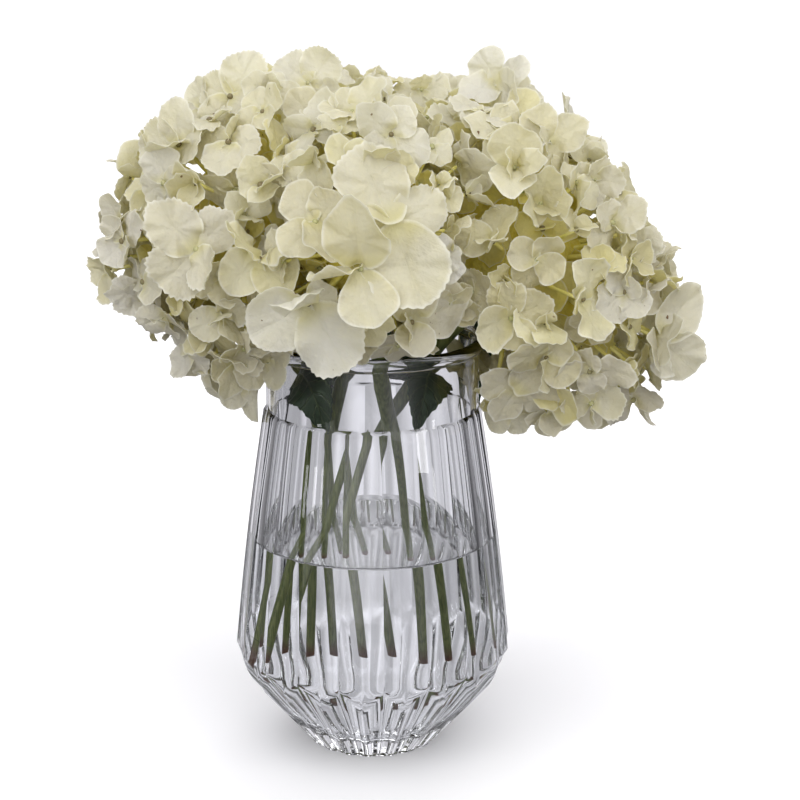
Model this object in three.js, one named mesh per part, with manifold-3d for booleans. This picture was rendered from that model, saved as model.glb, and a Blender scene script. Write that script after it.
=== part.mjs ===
// Cream mophead hydrangeas in a fluted glass vase, in millimetres, +Z up.
// The origin is the middle of the vase's foot, on the surface that the vase stands on.
// The front looks along -Y, with +X to the right.
import * as THREE from "three";
import { mergeVertices } from "three/addons/utils/BufferGeometryUtils.js";
import Module from "manifold-3d";

const wasm = await Module();
wasm.setup();

const degrees = (angle) => (angle * Math.PI) / 180;
const vec = (x, y, z) => new THREE.Vector3(x, y, z);

// Gap left between any two neighbouring pieces
const GAP = 0.3;

// Vase
const RIDGES = 20;
const RIDGE_PHASE = degrees(4.3);
const COLUMN_STEP = Math.PI / RIDGES;
const COLUMNS = 2 * RIDGES;
const FOOT_RADIUS = 27.4;
const FOOT_SCALLOP = 1.2;
const BEVEL_PEAK = { radius: 52.9, height: 34.6 };
const BEVEL_DIP = { radius: 50.6, height: 27.7 };
const BODY_WIDEST = { radius: 56, height: 41 };
const FLUTE_TOP = { radius: 43.4, height: 139 };
const FLUTE_DEPTH_LOW = 2.0;
const FLUTE_DEPTH_HIGH = 1.3;
const BODY_BULGE = 0.8;
const BODY_ROWS = 5;
const NECK_RADIUS = 42.2;
const NECK_LOW = 141.8;
const LIP_RADIUS = 44.5;
const LIP_HEIGHT = 165.6;
const LIP_BAND = 1.2;
const LIP_SLOPE = 4;
const VASE_HEIGHT = 168.4;
const BASE_THICKNESS = 9;

// Inner wall of the vase from the middle of its floor up to the lip, as [radius, height]
const INNER_PROFILE = [
  [24, BASE_THICKNESS],
  [31.5, BASE_THICKNESS + 2.5],
  [47, 33],
  [50.2, 44],
  [46.8, 87],
  [39.4, 139],
  [39, 162],
  [39.8, 166],
];

// Water
const WATER_LEVEL = 88;
const WATER_INSET = 1.3 * GAP;

// Stems, each from its cut end on the vase's inner wall to the core of its head
const STEM_RADIUS = 3.2;
const STEM_SIDES = 8;
const STEM_STEPS = 9;
const CUT_SLANT = degrees(28);
const STEMS = {
  left: [vec(-2, 36, 24), vec(-8, 29, 60), vec(-17, 17, 108), vec(-29, 4, 160), vec(-43, 2, 190)],
  right: [vec(-41, -2, 33), vec(-30, 1, 60), vec(-8, 6, 108), vec(25, 9, 160), vec(51, 4, 187)],
  front: [vec(21, 29, 23), vec(18, 17, 60), vec(12, 0, 108), vec(3, -26, 160), vec(1, -32, 198)],
  back: [vec(-21, 29, 26), vec(-20, 26, 60), vec(-20, 28, 108), vec(-9, 25, 160), vec(0, 36, 196)],
};

// Flower heads. Bead radii give the surface on which the florets' centres sit, and lean turns a head's
// top towards -X.
const HEADS = {
  left: { centre: vec(-36, 2, 208), beads: vec(62, 52, 57), lean: 0 },
  right: { centre: vec(56, 2, 197), beads: vec(49, 54, 72), lean: degrees(35) },
  front: { centre: vec(0, -31, 212), beads: vec(39, 42, 48), lean: 0 },
  back: { centre: vec(2, 38, 212), beads: vec(52, 48, 50), lean: 0 },
};
const CORE_SHARE = 0.52;
const CORE_COLUMNS = 10;
const CORE_ROWS = 6;

// Florets
const SEPALS = 4;
const FLORET_THICKNESS = 1.0;
const PEDICEL_RADIUS = 1.3;
const PEDICEL_SIDES = 3;
const RULE_CANDIDATES = 420;
const RULE_SPACING = 22.5;
const RULE_SEPAL = [16, 19];
const RULE_CUP = [0.1, 0.45];
const RULE_LAYER = [0.95, 1.03];
const RULE_SWAY = 0.3;
const LAYER_SHIFTS = [0, 2.5, -2.5, 5, -5, 7.5, -7.5, 10, -10];
const SHIFT_COST = 0.2;
const DISC_LIFT = 0.3;
const DISC_REACH = 0.85;
const UNDERSIDE = -0.86;
const HEAD_MARGIN = 4;
const VASE_MARGIN = 9;

// Florets that the front view shows, as [across, up, sepal length, roll, azimuth, elevation, cup].
// Azimuth turns the floret's face from the front towards +X and elevation turns it up, in degrees.
const FRONT_VIEW = {
  front: [
    [7, 224, 27, 30, 4, 12, 0.2],
    [-3, 207, 21, 70, -8, 24, 0.3],
    [-21, 194, 22, 10, -14, 8, 0.2],
    [14, 188, 22, 5, 8, -25, 0.2],
    [-4, 178, 17, 40, 0, -35, 0.2],
    [-19, 224, 18, 50, -25, 12, 0.3],
    [-21, 244, 16, 20, -20, 20, 0.4],
    [7, 253, 17, 60, 8, 34, 0.4],
    [-7, 259, 16, 20, -5, 60, 0.3],
    [24, 235, 15, 10, 22, 14, 0.4],
    [24, 209, 14, 40, 24, -6, 0.4],
  ],
  left: [
    [-53, 262, 18, 30, -20, 35, 0.3],
    [-66, 258, 13, 10, -35, 30, 0.5],
    [-72, 246, 19, 0, -40, 20, 0.2],
    [-78, 233, 18, 40, -45, 5, 0.3],
    [-95, 216, 16, 45, -60, 12, 0.3],
    [-102, 206, 16, 20, -75, 0, 0.2],
    [-92, 210, 13, 45, -40, 8, 0.5],
    [-102, 194, 14, 10, -70, -10, 0.2],
    [-91, 188, 19, 60, -45, -8, 0.15],
    [-63, 211, 21, 45, -15, 5, 0.25],
    [-55, 200, 15, 10, -10, -10, 0.3],
    [-56, 185, 18, 30, -8, -8, 0.2],
    [-78, 181, 15, 0, -40, -22, 0.3],
    [-53, 164, 16, 0, -8, -22, 0.3],
    [-51, 148, 16, 45, -5, -38, 0.15],
    [-40, 163, 15, 30, 5, -20, 0.4],
    [-40, 207, 19, 0, -5, 25, 0.4],
    [-40, 234, 16, 20, -5, 15, 0.5],
    [-22, 256, 16, 45, 0, 20, 0.4],
    [-24, 266, 17, 60, -5, 50, 0.3],
    [-40, 258, 14, 30, -10, 35, 0.4],
    [-53, 249, 15, 0, -15, 25, 0.3],
    [-54, 233, 14, 15, -18, 14, 0.5],
    [-70, 205, 14, 20, -35, 0, 0.3],
    [-70, 167, 14, 50, -30, -30, 0.2],
    [-37, 263, 14, 0, -10, 50, 0.4],
  ],
  right: [
    [48, 265, 17, 40, -5, 50, 0.3],
    [58, 260, 15, 10, 12, 40, 0.3],
    [41, 257, 15, 45, -5, 62, 0.2],
    [52, 239, 19, 45, -5, 10, 0.6],
    [66, 247, 16, 20, 18, 20, 0.3],
    [78, 246, 15, 30, 38, 25, 0.3],
    [83, 233, 15, 0, 35, 0, 0.5],
    [94, 226, 16, 20, 52, 15, 0.3],
    [89, 218, 17, 45, 25, -10, 0.5],
    [63, 227, 16, 0, 8, 5, 0.6],
    [44, 214, 17, 80, -18, 5, 0.4],
    [60, 207, 17, 60, -5, 0, 0.3],
    [72, 193, 14, 0, 55, 5, 0.2],
    [93, 193, 16, 30, 25, 5, 0.4],
    [103, 203, 15, 10, 45, 5, 0.3],
    [111, 196, 15, 40, 52, 5, 0.3],
    [106, 170, 24, 0, 28, -5, 0.15],
    [104, 141, 14, 30, 30, -22, 0.2],
    [83, 149, 13, 10, 10, -35, 0.2],
    [54, 134, 13, 0, -5, -40, 0.2],
    [49, 156, 19, 60, -12, -24, 0.1],
    [51, 186, 18, 20, -10, -6, 0.3],
    [33, 188, 15, 60, -25, -10, 0.4],
    [65, 169, 18, 70, 0, -15, 0.2],
    [85, 178, 16, 40, 15, -8, 0.4],
    [81, 164, 15, 10, 10, -22, 0.3],
    [32, 259, 13, 20, -25, 38, 0.4],
  ],
  back: [
    [-10, 260, 16, 30, -15, 50, 0.3],
    [6, 258, 16, 45, -5, 45, 0.3],
    [20, 260, 14, 10, 0, 50, 0.3],
    [33, 259, 14, 45, 10, 50, 0.3],
  ],
};

// Leaves: the stem and the height where each grows, the bends of its midrib, its width and where its face looks
const LEAF_THICKNESS = 0.8;
const LEAF_STEPS = 14;
const LEAF_FOLD = 0.16;
const LEAF_SWELL = 0.8;
const LEAF_TAPER = 0.15;
const LEAF_SEAT = 2 * GAP;
const TOOTH = 0.16;
const PETIOLE_HALF_WIDTH = 1.3;
const PETIOLE_SHARE = 0.2;
const LEAVES = {
  neck_left: {
    stem: "left",
    height: 158,
    midrib: [vec(-27, -11, 157), vec(-22, -23, 151), vec(-17, -25, 134)],
    width: 22,
    face: vec(-0.45, -1, 0.1),
  },
  neck_right: {
    stem: "right",
    height: 158,
    midrib: [vec(22, -8, 159), vec(20, -20, 153), vec(16, -27, 136)],
    width: 22,
    face: vec(0.4, -1, 0.15),
  },
  neck_back: {
    stem: "back",
    height: 158,
    midrib: [vec(8, 28, 158), vec(17, 28, 150), vec(20, 27, 134)],
    width: 20,
    face: vec(0.3, 1, 0),
  },
  outside_right: {
    stem: "right",
    height: 161,
    midrib: [vec(31, 23, 175), vec(40, 36, 172), vec(39, 37, 127)],
    width: 24,
    face: vec(0.6, 0.8, 0.1),
  },
  outside_back: {
    stem: "back",
    height: 175,
    midrib: [vec(-14, 40, 174), vec(-17, 52, 163), vec(-18, 51, 122)],
    width: 34,
    face: vec(-0.1, 1, 0.1),
  },
};

const colour = {
  glass: new THREE.MeshStandardMaterial({ color: 0xdfe8e4, roughness: 0.05, transparent: true, opacity: 0.35 }),
  water: new THREE.MeshStandardMaterial({ color: 0xe6efec, roughness: 0.02, transparent: true, opacity: 0.4 }),
  stem: new THREE.MeshStandardMaterial({ color: 0x6f8a3c, roughness: 0.6 }),
  leaf: new THREE.MeshStandardMaterial({ color: 0x2f4a26, roughness: 0.55 }),
  petal: new THREE.MeshStandardMaterial({ color: 0xe9e6d3, roughness: 0.7 }),
};

// Closed solids

function solidOf(geometry) {
  const bare = new THREE.BufferGeometry();
  bare.setAttribute("position", geometry.getAttribute("position"));
  bare.setIndex(geometry.index);
  const merged = mergeVertices(bare, 1e-4);
  const corners = merged.index.array;
  const faces = [];
  for (let i = 0; i < corners.length; i += 3) {
    const [a, b, c] = corners.subarray(i, i + 3);
    if (a !== b && b !== c && c !== a) faces.push(a, b, c);
  }
  return new wasm.Manifold(
    new wasm.Mesh({
      numProp: 3,
      vertProperties: new Float32Array(merged.attributes.position.array),
      triVerts: new Uint32Array(faces),
    }),
  );
}

function geometryOf(solid) {
  const mesh = solid.getMesh();
  const geometry = new THREE.BufferGeometry();
  const points = new Float32Array(mesh.numVert * 3);
  for (let i = 0; i < mesh.numVert; i++) {
    points.set(mesh.vertProperties.subarray(i * mesh.numProp, i * mesh.numProp + 3), i * 3);
  }
  geometry.setAttribute("position", new THREE.BufferAttribute(points, 3));
  geometry.setIndex(new THREE.BufferAttribute(new Uint32Array(mesh.triVerts), 1));
  return geometry;
}

function indexed(points, faces) {
  const geometry = new THREE.BufferGeometry();
  geometry.setAttribute("position", new THREE.Float32BufferAttribute(points.flatMap((p) => [p.x, p.y, p.z]), 3));
  geometry.setIndex(faces.flat());
  return geometry;
}

// The body with the most volume, without loose scraps and with sealed hollows filled
function largestBody(solid) {
  return solid.decompose().sort((a, b) => b.volume() - a.volume())[0];
}

function named(name, geometry, material) {
  const mesh = new THREE.Mesh(geometry, material);
  mesh.name = name;
  geometry.computeVertexNormals();
  return mesh;
}

// Surfaces of columns round the Z axis

const columnAngle = (column) => RIDGE_PHASE + column * COLUMN_STEP;
const onRidge = (column) => column % 2 === 0;

function around(radius, height, column) {
  const angle = columnAngle(column);
  return vec(radius * Math.sin(angle), -radius * Math.cos(angle), height);
}

// A closed solid from rows of COLUMNS points, from the middle of its foot over the outside to the middle of its floor
function columnSolid(rows, first, last) {
  const points = [first, ...rows.flat(), last];
  const faces = [];
  const at = (row, column) => 1 + row * COLUMNS + (column % COLUMNS);
  for (let column = 0; column < COLUMNS; column++) {
    faces.push([0, at(0, column + 1), at(0, column)]);
    for (let row = 0; row < rows.length - 1; row++) {
      faces.push([at(row, column), at(row, column + 1), at(row + 1, column + 1)]);
      faces.push([at(row, column), at(row + 1, column + 1), at(row + 1, column)]);
    }
    faces.push([at(rows.length - 1, column), at(rows.length - 1, column + 1), points.length - 1]);
  }
  return indexed(points, faces);
}

const columnRow = (place) => Array.from({ length: COLUMNS }, (_, column) => place(column));
const roundRow = (radius, height) => columnRow((column) => around(radius, height, column));

// Radius of a ridge at a share of the way up the fluted body
function ridgeRadius(share) {
  const straight = THREE.MathUtils.lerp(BODY_WIDEST.radius, FLUTE_TOP.radius, share);
  return straight + BODY_BULGE * Math.sin(Math.PI * share);
}

function vase() {
  const rows = [];
  rows.push(columnRow((c) => around(FOOT_RADIUS + (onRidge(c) ? -FOOT_SCALLOP : FOOT_SCALLOP) / 2, 0, c)));
  rows.push(
    columnRow((c) => {
      const corner = onRidge(c) ? BEVEL_PEAK : BEVEL_DIP;
      return around(corner.radius, corner.height, c);
    }),
  );
  for (let step = 0; step <= BODY_ROWS; step++) {
    const share = step / BODY_ROWS;
    const depth = THREE.MathUtils.lerp(FLUTE_DEPTH_LOW, FLUTE_DEPTH_HIGH, share);
    const height = THREE.MathUtils.lerp(BODY_WIDEST.height, FLUTE_TOP.height, share);
    rows.push(columnRow((c) => around(ridgeRadius(share) - (onRidge(c) ? 0 : depth), height, c)));
  }
  rows.push(roundRow(NECK_RADIUS, NECK_LOW));
  rows.push(roundRow(NECK_RADIUS, LIP_HEIGHT - LIP_SLOPE));
  rows.push(roundRow(LIP_RADIUS, LIP_HEIGHT - LIP_BAND));
  rows.push(roundRow(LIP_RADIUS, LIP_HEIGHT + LIP_BAND));
  rows.push(roundRow((LIP_RADIUS + INNER_PROFILE.at(-1)[0]) / 2, VASE_HEIGHT));
  for (const [radius, height] of [...INNER_PROFILE].reverse()) {
    rows.push(roundRow(radius, height));
  }
  return columnSolid(rows, vec(0, 0, 0), vec(0, 0, BASE_THICKNESS));
}

// Water, a little inside the vase's inner wall

function waterRadius(height) {
  const upper = INNER_PROFILE.findIndex((point) => point[1] >= height);
  const [lowRadius, lowHeight] = INNER_PROFILE[upper - 1];
  const [highRadius, highHeight] = INNER_PROFILE[upper];
  return THREE.MathUtils.mapLinear(height, lowHeight, highHeight, lowRadius, highRadius);
}

function water(stems) {
  const below = INNER_PROFILE.filter((point) => point[1] < WATER_LEVEL);
  const rows = below.map(([radius, height]) => roundRow(radius - WATER_INSET, height + GAP));
  rows.push(roundRow(waterRadius(WATER_LEVEL) - WATER_INSET, WATER_LEVEL));
  let body = solidOf(columnSolid(rows, vec(0, 0, BASE_THICKNESS + GAP), vec(0, 0, WATER_LEVEL)));
  for (const path of stems) {
    body = body.subtract(stemSolid(path, STEM_RADIUS + GAP, GAP));
  }
  return geometryOf(largestBody(body));
}

// Stems

function stemSolid(points, radius, longer) {
  const outline = new THREE.Shape();
  for (let side = 0; side < STEM_SIDES; side++) {
    const angle = (2 * Math.PI * side) / STEM_SIDES;
    const place = [radius * Math.cos(angle), radius * Math.sin(angle)];
    if (side === 0) outline.moveTo(...place);
    else outline.lineTo(...place);
  }
  const start = points[0].clone().add(points[0].clone().sub(points[1]).setLength(longer));
  const end = points.at(-1).clone().add(points.at(-1).clone().sub(points.at(-2)).setLength(longer));
  const curve = new THREE.CatmullRomCurve3([start, ...points.slice(1, -1), end]);
  const tube = new THREE.ExtrudeGeometry(outline, { steps: STEM_STEPS, extrudePath: curve, curveSegments: 1 });
  const place = tube.getAttribute("position");
  const along = points[1].clone().sub(points[0]).normalize();
  const slantAxis = vec(0, 0, 1).cross(along).normalize();
  const slantDirection = slantAxis.clone().cross(along).normalize();
  for (let i = 0; i < place.count; i++) {
    const point = vec().fromBufferAttribute(place, i);
    const offset = point.clone().sub(start);
    if (Math.abs(offset.dot(along)) > 0.5) continue;
    point.addScaledVector(along, offset.dot(slantDirection) * Math.tan(CUT_SLANT));
    place.setXYZ(i, point.x, point.y, point.z);
  }
  return solidOf(tube);
}

// Florets

function seeded(seed) {
  let state = seed;
  return (low = 0, high = 1) => {
    state = (state * 1103515245 + 12345) % 2147483648;
    return low + (high - low) * (state / 2147483648);
  };
}

// Unit vector of a face turned by azimuth from the front towards +X and by elevation upwards
function faceVector(azimuth, elevation) {
  const flat = Math.cos(elevation);
  return vec(flat * Math.sin(azimuth), -flat * Math.cos(azimuth), Math.sin(elevation));
}

// A direction of a head's own axes as one of the arrangement, and the other way round
const leaned = (direction, lean) => direction.clone().applyAxisAngle(vec(0, 1, 0), -lean);
const upright = (direction, lean) => leaned(direction, -lean);

// The plane that parts two heads, as its unit normal towards the first head and its distance from the origin
function parting(own, other) {
  const between = own.centre.clone().sub(other.centre);
  const normal = between.clone().normalize();
  const reach = ({ beads, lean }) => 1 / upright(normal, lean).divide(beads).length();
  const share = reach(other) / (reach(own) + reach(other));
  const middle = other.centre.clone().addScaledVector(between, share);
  return { normal, distance: middle.dot(normal) };
}

function partings(name) {
  return Object.keys(HEADS)
    .filter((other) => other !== name)
    .map((other) => parting(HEADS[name], HEADS[other]));
}

function clearOfVase(bead) {
  const out = Math.hypot(bead.x, bead.y);
  return bead.z > VASE_HEIGHT + VASE_MARGIN || out > LIP_RADIUS + VASE_MARGIN;
}

// Length over which two florets, taken as flat discs, would cut through each other
function crossing(a, b) {
  const [discA, discB] = [a, b].map(({ bead, face, sepal, cup }) => ({
    middle: bead.clone().addScaledVector(face, DISC_LIFT * sepal * cup),
    reach: DISC_REACH * sepal,
  }));
  const line = a.face.clone().cross(b.face);
  if (line.length() < 0.05) return 0;
  line.normalize();
  const toLine = line.clone().cross(a.face);
  const apart = discB.middle.clone().sub(discA.middle);
  const reachA = apart.dot(b.face) / toLine.dot(b.face);
  const onLine = discA.middle.clone().addScaledVector(toLine, reachA);
  const along = discB.middle.clone().sub(onLine).dot(line);
  const reachB = onLine.addScaledVector(line, along).distanceTo(discB.middle);
  if (Math.abs(reachA) >= discA.reach || reachB >= discB.reach) return 0;
  const halfA = Math.sqrt(discA.reach ** 2 - reachA ** 2);
  const halfB = Math.sqrt(discB.reach ** 2 - reachB ** 2);
  return Math.max(0, Math.min(halfA, along + halfB) - Math.max(-halfA, along - halfB));
}

// Moves each floret in or out along its face, so that neighbours overlap in layers
function layered(florets) {
  const placed = [];
  for (const floret of florets) {
    const tries = LAYER_SHIFTS.map((shift) => {
      const moved = { ...floret, bead: floret.bead.clone().addScaledVector(floret.face, shift) };
      const cuts = placed.reduce((sum, other) => sum + crossing(moved, other), 0);
      return { moved, cost: cuts + SHIFT_COST * Math.abs(shift) };
    });
    placed.push(tries.reduce((best, next) => (next.cost < best.cost ? next : best)).moved);
  }
  return placed;
}

// Places of a head's florets: those that the front view shows, then the widest gaps are filled one by one
// from places spread evenly over the head by the golden angle
function floretsOf(name) {
  const { centre, beads, lean } = HEADS[name];
  const random = seeded(name.length * 977 + Math.round(centre.z));
  const florets = FRONT_VIEW[name].map(([x, z, sepal, roll, azimuth, elevation, cup]) => {
    const offset = upright(vec(x - centre.x, 0, z - centre.z), lean).divide(beads);
    const y = centre.y - beads.y * Math.sqrt(Math.max(0, 1 - offset.lengthSq()));
    const face = faceVector(degrees(azimuth), degrees(elevation));
    return { bead: vec(x, y, z), face, sepal, roll: degrees(roll), cup };
  });
  const planes = partings(name);
  const golden = Math.PI * (3 - Math.sqrt(5));
  const spare = [];
  for (let i = 0; i < RULE_CANDIDATES; i++) {
    const up = 1 - (2 * i + 1) / RULE_CANDIDATES;
    const flat = Math.sqrt(1 - up * up);
    const direction = vec(flat * Math.cos(i * golden), flat * Math.sin(i * golden), up);
    const layer = random(...RULE_LAYER);
    const sepal = random(...RULE_SEPAL);
    const roll = random(0, Math.PI / 2);
    const cup = random(...RULE_CUP);
    const sway = vec(random(-1, 1), random(-1, 1), random(-1, 1)).multiplyScalar(RULE_SWAY);
    const bead = leaned(direction.clone().multiply(beads), lean).multiplyScalar(layer).add(centre);
    const outward = leaned(direction.clone().divide(beads), lean).normalize();
    const face = outward.clone().add(sway).normalize();
    const own = planes.every((plane) => bead.dot(plane.normal) > plane.distance + HEAD_MARGIN);
    if (outward.z > UNDERSIDE && own && clearOfVase(bead)) spare.push({ bead, face, sepal, roll, cup });
  }
  for (;;) {
    const room = ({ bead }) => Math.min(...florets.map((other) => other.bead.distanceTo(bead)));
    const widest = spare.reduce((best, next) => (room(next) > room(best) ? next : best));
    if (room(widest) < RULE_SPACING) break;
    florets.push(widest);
  }
  return layered(florets);
}

// Sepal outline as [share of a sepal's turn, length, lift], from one notch to the next
const SEPAL_OUTLINE = [
  [0, 0.56, 0.12],
  [0.24, 0.94, 0.4],
  [0.5, 1.0, 0.34],
  [0.76, 0.94, 0.4],
];

function floretSolid({ bead, face, sepal, roll, cup }, root) {
  const side = vec(0, 0, 1).cross(face).normalize();
  const up = face.clone().cross(side);
  const place = (length, angle, lift) =>
    bead
      .clone()
      .addScaledVector(side, length * Math.cos(angle))
      .addScaledVector(up, length * Math.sin(angle))
      .addScaledVector(face, lift);
  const rim = [];
  for (let i = 0; i < SEPALS; i++) {
    for (const [turn, length, lift] of SEPAL_OUTLINE) {
      const angle = roll + ((i + turn - 0.5) * 2 * Math.PI) / SEPALS;
      rim.push([length * sepal, angle, lift * sepal * cup]);
    }
  }
  const count = rim.length;
  const points = [place(0, 0, FLORET_THICKNESS / 2)];
  rim.forEach(([length, angle, lift]) => points.push(place(length, angle, lift + FLORET_THICKNESS / 2)));
  rim.forEach(([length, angle, lift]) => points.push(place(length, angle, lift - FLORET_THICKNESS / 2)));
  const collar = points.length;
  for (let i = 0; i < PEDICEL_SIDES; i++) {
    points.push(place(PEDICEL_RADIUS, roll + (i * 2 * Math.PI) / PEDICEL_SIDES, -FLORET_THICKNESS));
  }
  const foot = points.length;
  for (let i = 0; i < PEDICEL_SIDES; i++) {
    points.push(points[collar + i].clone().add(root).sub(bead));
  }
  const faces = [];
  const top = (i) => 1 + (i % count);
  const under = (i) => 1 + count + (i % count);
  const nearest = (i) => collar + (Math.round(((i % count) * PEDICEL_SIDES) / count) % PEDICEL_SIDES);
  for (let i = 0; i < count; i++) {
    faces.push([0, top(i), top(i + 1)]);
    faces.push([top(i), under(i), under(i + 1)], [top(i), under(i + 1), top(i + 1)]);
    faces.push([under(i), nearest(i), under(i + 1)]);
    if (nearest(i) !== nearest(i + 1)) faces.push([nearest(i), nearest(i + 1), under(i + 1)]);
  }
  for (let i = 0; i < PEDICEL_SIDES; i++) {
    const next = (i + 1) % PEDICEL_SIDES;
    faces.push([collar + i, foot + i, foot + next], [collar + i, foot + next, collar + next]);
  }
  faces.push([foot, foot + 2, foot + 1]);
  return solidOf(indexed(points, faces));
}

// Everything that the flowers have to stay clear of: the upper vase with the space inside it
function vaseHull() {
  const outline = [
    new THREE.Vector2(0, WATER_LEVEL),
    new THREE.Vector2(BODY_WIDEST.radius, WATER_LEVEL),
    new THREE.Vector2(LIP_RADIUS + GAP, FLUTE_TOP.height),
    new THREE.Vector2(LIP_RADIUS + GAP, VASE_HEIGHT + GAP),
    new THREE.Vector2(0, VASE_HEIGHT + GAP),
  ];
  return solidOf(new THREE.LatheGeometry(outline, COLUMNS).rotateX(Math.PI / 2));
}

function head(name, clearances) {
  const { centre, beads, lean } = HEADS[name];
  const core = new THREE.SphereGeometry(CORE_SHARE, CORE_COLUMNS, CORE_ROWS);
  core.rotateX(Math.PI / 2);
  core.scale(beads.x, beads.y, beads.z);
  core.rotateY(-lean);
  core.translate(centre.x, centre.y, centre.z);
  const solids = [solidOf(core)];
  for (const floret of floretsOf(name)) {
    const root = centre.clone().lerp(floret.bead, 0.5 * CORE_SHARE);
    solids.push(floretSolid(floret, root));
  }
  let body = wasm.Manifold.union(solids);
  for (const plane of partings(name)) {
    body = body.trimByPlane(plane.normal.toArray(), plane.distance + GAP / 2);
  }
  for (const clearance of clearances) {
    body = body.subtract(clearance);
  }
  return geometryOf(largestBody(body));
}

// Leaves

// Half width of a leaf at a share of its length, with a petiole, a pointed tip and teeth
function leafHalfWidth(share, width, tooth) {
  if (share <= PETIOLE_SHARE) return PETIOLE_HALF_WIDTH;
  const blade = (share - PETIOLE_SHARE) / (1 - PETIOLE_SHARE);
  const oval = Math.sin(Math.PI * blade ** LEAF_SWELL) * (1 - LEAF_TAPER * blade);
  return Math.max(PETIOLE_HALF_WIDTH, (width / 2) * oval * (1 + tooth * TOOTH));
}

// The point where a leaf's petiole meets the side of its stem, a gap away
function leafBase({ stem, height, midrib }) {
  const curve = new THREE.CatmullRomCurve3(STEMS[stem]);
  const share = Array.from({ length: 201 }, (_, i) => i / 200).find((t) => curve.getPoint(t).z >= height);
  const axis = curve.getPoint(share);
  const out = midrib[0].clone().sub(axis);
  const along = curve.getTangent(share);
  out.addScaledVector(along, -out.dot(along));
  return axis.add(out.setLength(STEM_RADIUS + LEAF_SEAT));
}

function leafSolid(leaf, thickness) {
  const { midrib, width, face } = leaf;
  const curve = new THREE.CatmullRomCurve3([leafBase(leaf), ...midrib]);
  const points = [];
  const faces = [];
  for (let step = 0; step < LEAF_STEPS; step++) {
    const share = step / LEAF_STEPS;
    const middle = curve.getPoint(share);
    const along = curve.getTangent(share);
    const across = along.clone().cross(face).normalize();
    const normal = across.clone().cross(along).normalize();
    const half = leafHalfWidth(share, width, step % 2 ? 1 : -1);
    const edgeLift = (half - PETIOLE_HALF_WIDTH) * LEAF_FOLD;
    for (const [reach, lift] of [[-half, edgeLift], [0, 0], [half, edgeLift]]) {
      for (const skin of [0.5, -0.5]) {
        const point = middle.clone().addScaledVector(across, reach);
        points.push(point.addScaledVector(normal, lift + skin * thickness));
      }
    }
  }
  const tip = points.length;
  const end = curve.getPoint(1);
  points.push(end);
  const at = (step, edge, skin) => step * 6 + edge * 2 + skin;
  const quad = (a, b, c, d) => faces.push([a, b, c], [a, c, d]);
  for (let step = 0; step < LEAF_STEPS - 1; step++) {
    for (const edge of [0, 1]) {
      quad(at(step, edge, 0), at(step, edge + 1, 0), at(step + 1, edge + 1, 0), at(step + 1, edge, 0));
      quad(at(step, edge, 1), at(step + 1, edge, 1), at(step + 1, edge + 1, 1), at(step, edge + 1, 1));
    }
    quad(at(step, 0, 0), at(step + 1, 0, 0), at(step + 1, 0, 1), at(step, 0, 1));
    quad(at(step, 2, 1), at(step + 1, 2, 1), at(step + 1, 2, 0), at(step, 2, 0));
  }
  for (const edge of [0, 1]) {
    quad(at(0, edge, 0), at(0, edge, 1), at(0, edge + 1, 1), at(0, edge + 1, 0));
    faces.push([at(LEAF_STEPS - 1, edge, 0), at(LEAF_STEPS - 1, edge + 1, 0), tip]);
    faces.push([at(LEAF_STEPS - 1, edge + 1, 1), at(LEAF_STEPS - 1, edge, 1), tip]);
  }
  faces.push([at(LEAF_STEPS - 1, 0, 1), at(LEAF_STEPS - 1, 0, 0), tip]);
  faces.push([at(LEAF_STEPS - 1, 2, 0), at(LEAF_STEPS - 1, 2, 1), tip]);
  const blade = solidOf(indexed(points, faces));
  return blade.volume() > 0 ? blade : solidOf(indexed(points, faces.map(([a, b, c]) => [a, c, b])));
}

// The arrangement

const bouquet = new THREE.Group();
bouquet.add(named("vase", vase(), colour.glass));
bouquet.add(named("water", water(Object.values(STEMS)), colour.water));

const stemClearance = Object.values(STEMS).map((path) => stemSolid(path, STEM_RADIUS + GAP, GAP));
for (const [name, path] of Object.entries(STEMS)) {
  bouquet.add(named("stem_" + name, geometryOf(stemSolid(path, STEM_RADIUS, 0)), colour.stem));
}

const leafClearance = [];
for (const [name, leaf] of Object.entries(LEAVES)) {
  bouquet.add(named("leaf_" + name, geometryOf(leafSolid(leaf, LEAF_THICKNESS)), colour.leaf));
  leafClearance.push(leafSolid({ ...leaf, width: leaf.width + 1 }, LEAF_THICKNESS + 2 * GAP));
}

const clearances = [vaseHull(), ...stemClearance, ...leafClearance];
for (const name of Object.keys(HEADS)) {
  bouquet.add(named("head_" + name, head(name, clearances), colour.petal));
}

export default bouquet;
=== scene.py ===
# Cream mophead hydrangeas in a fluted glass vase: the finished surfaces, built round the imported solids.
# The frame is +Z up and the front looks along -Y. Named sizes are in millimetres, and a mesh is scaled
# to metres when it is made.
import math

import bpy
import numpy as np
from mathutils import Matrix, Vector

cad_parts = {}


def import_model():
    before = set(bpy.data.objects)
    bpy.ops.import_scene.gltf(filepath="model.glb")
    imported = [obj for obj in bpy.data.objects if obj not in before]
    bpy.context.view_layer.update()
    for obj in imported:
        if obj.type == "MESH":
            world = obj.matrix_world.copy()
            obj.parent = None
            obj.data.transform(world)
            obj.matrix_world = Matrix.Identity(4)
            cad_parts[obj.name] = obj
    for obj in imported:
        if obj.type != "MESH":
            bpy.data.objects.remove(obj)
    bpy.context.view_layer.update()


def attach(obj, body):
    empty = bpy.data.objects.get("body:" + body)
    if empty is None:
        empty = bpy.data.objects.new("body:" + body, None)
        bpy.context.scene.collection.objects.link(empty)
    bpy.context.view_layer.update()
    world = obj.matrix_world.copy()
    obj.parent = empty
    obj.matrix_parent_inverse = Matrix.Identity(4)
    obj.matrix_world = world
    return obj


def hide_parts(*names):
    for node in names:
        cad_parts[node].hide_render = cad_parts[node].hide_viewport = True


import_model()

MM = 0.001
DEGREES = math.pi / 180

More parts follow.
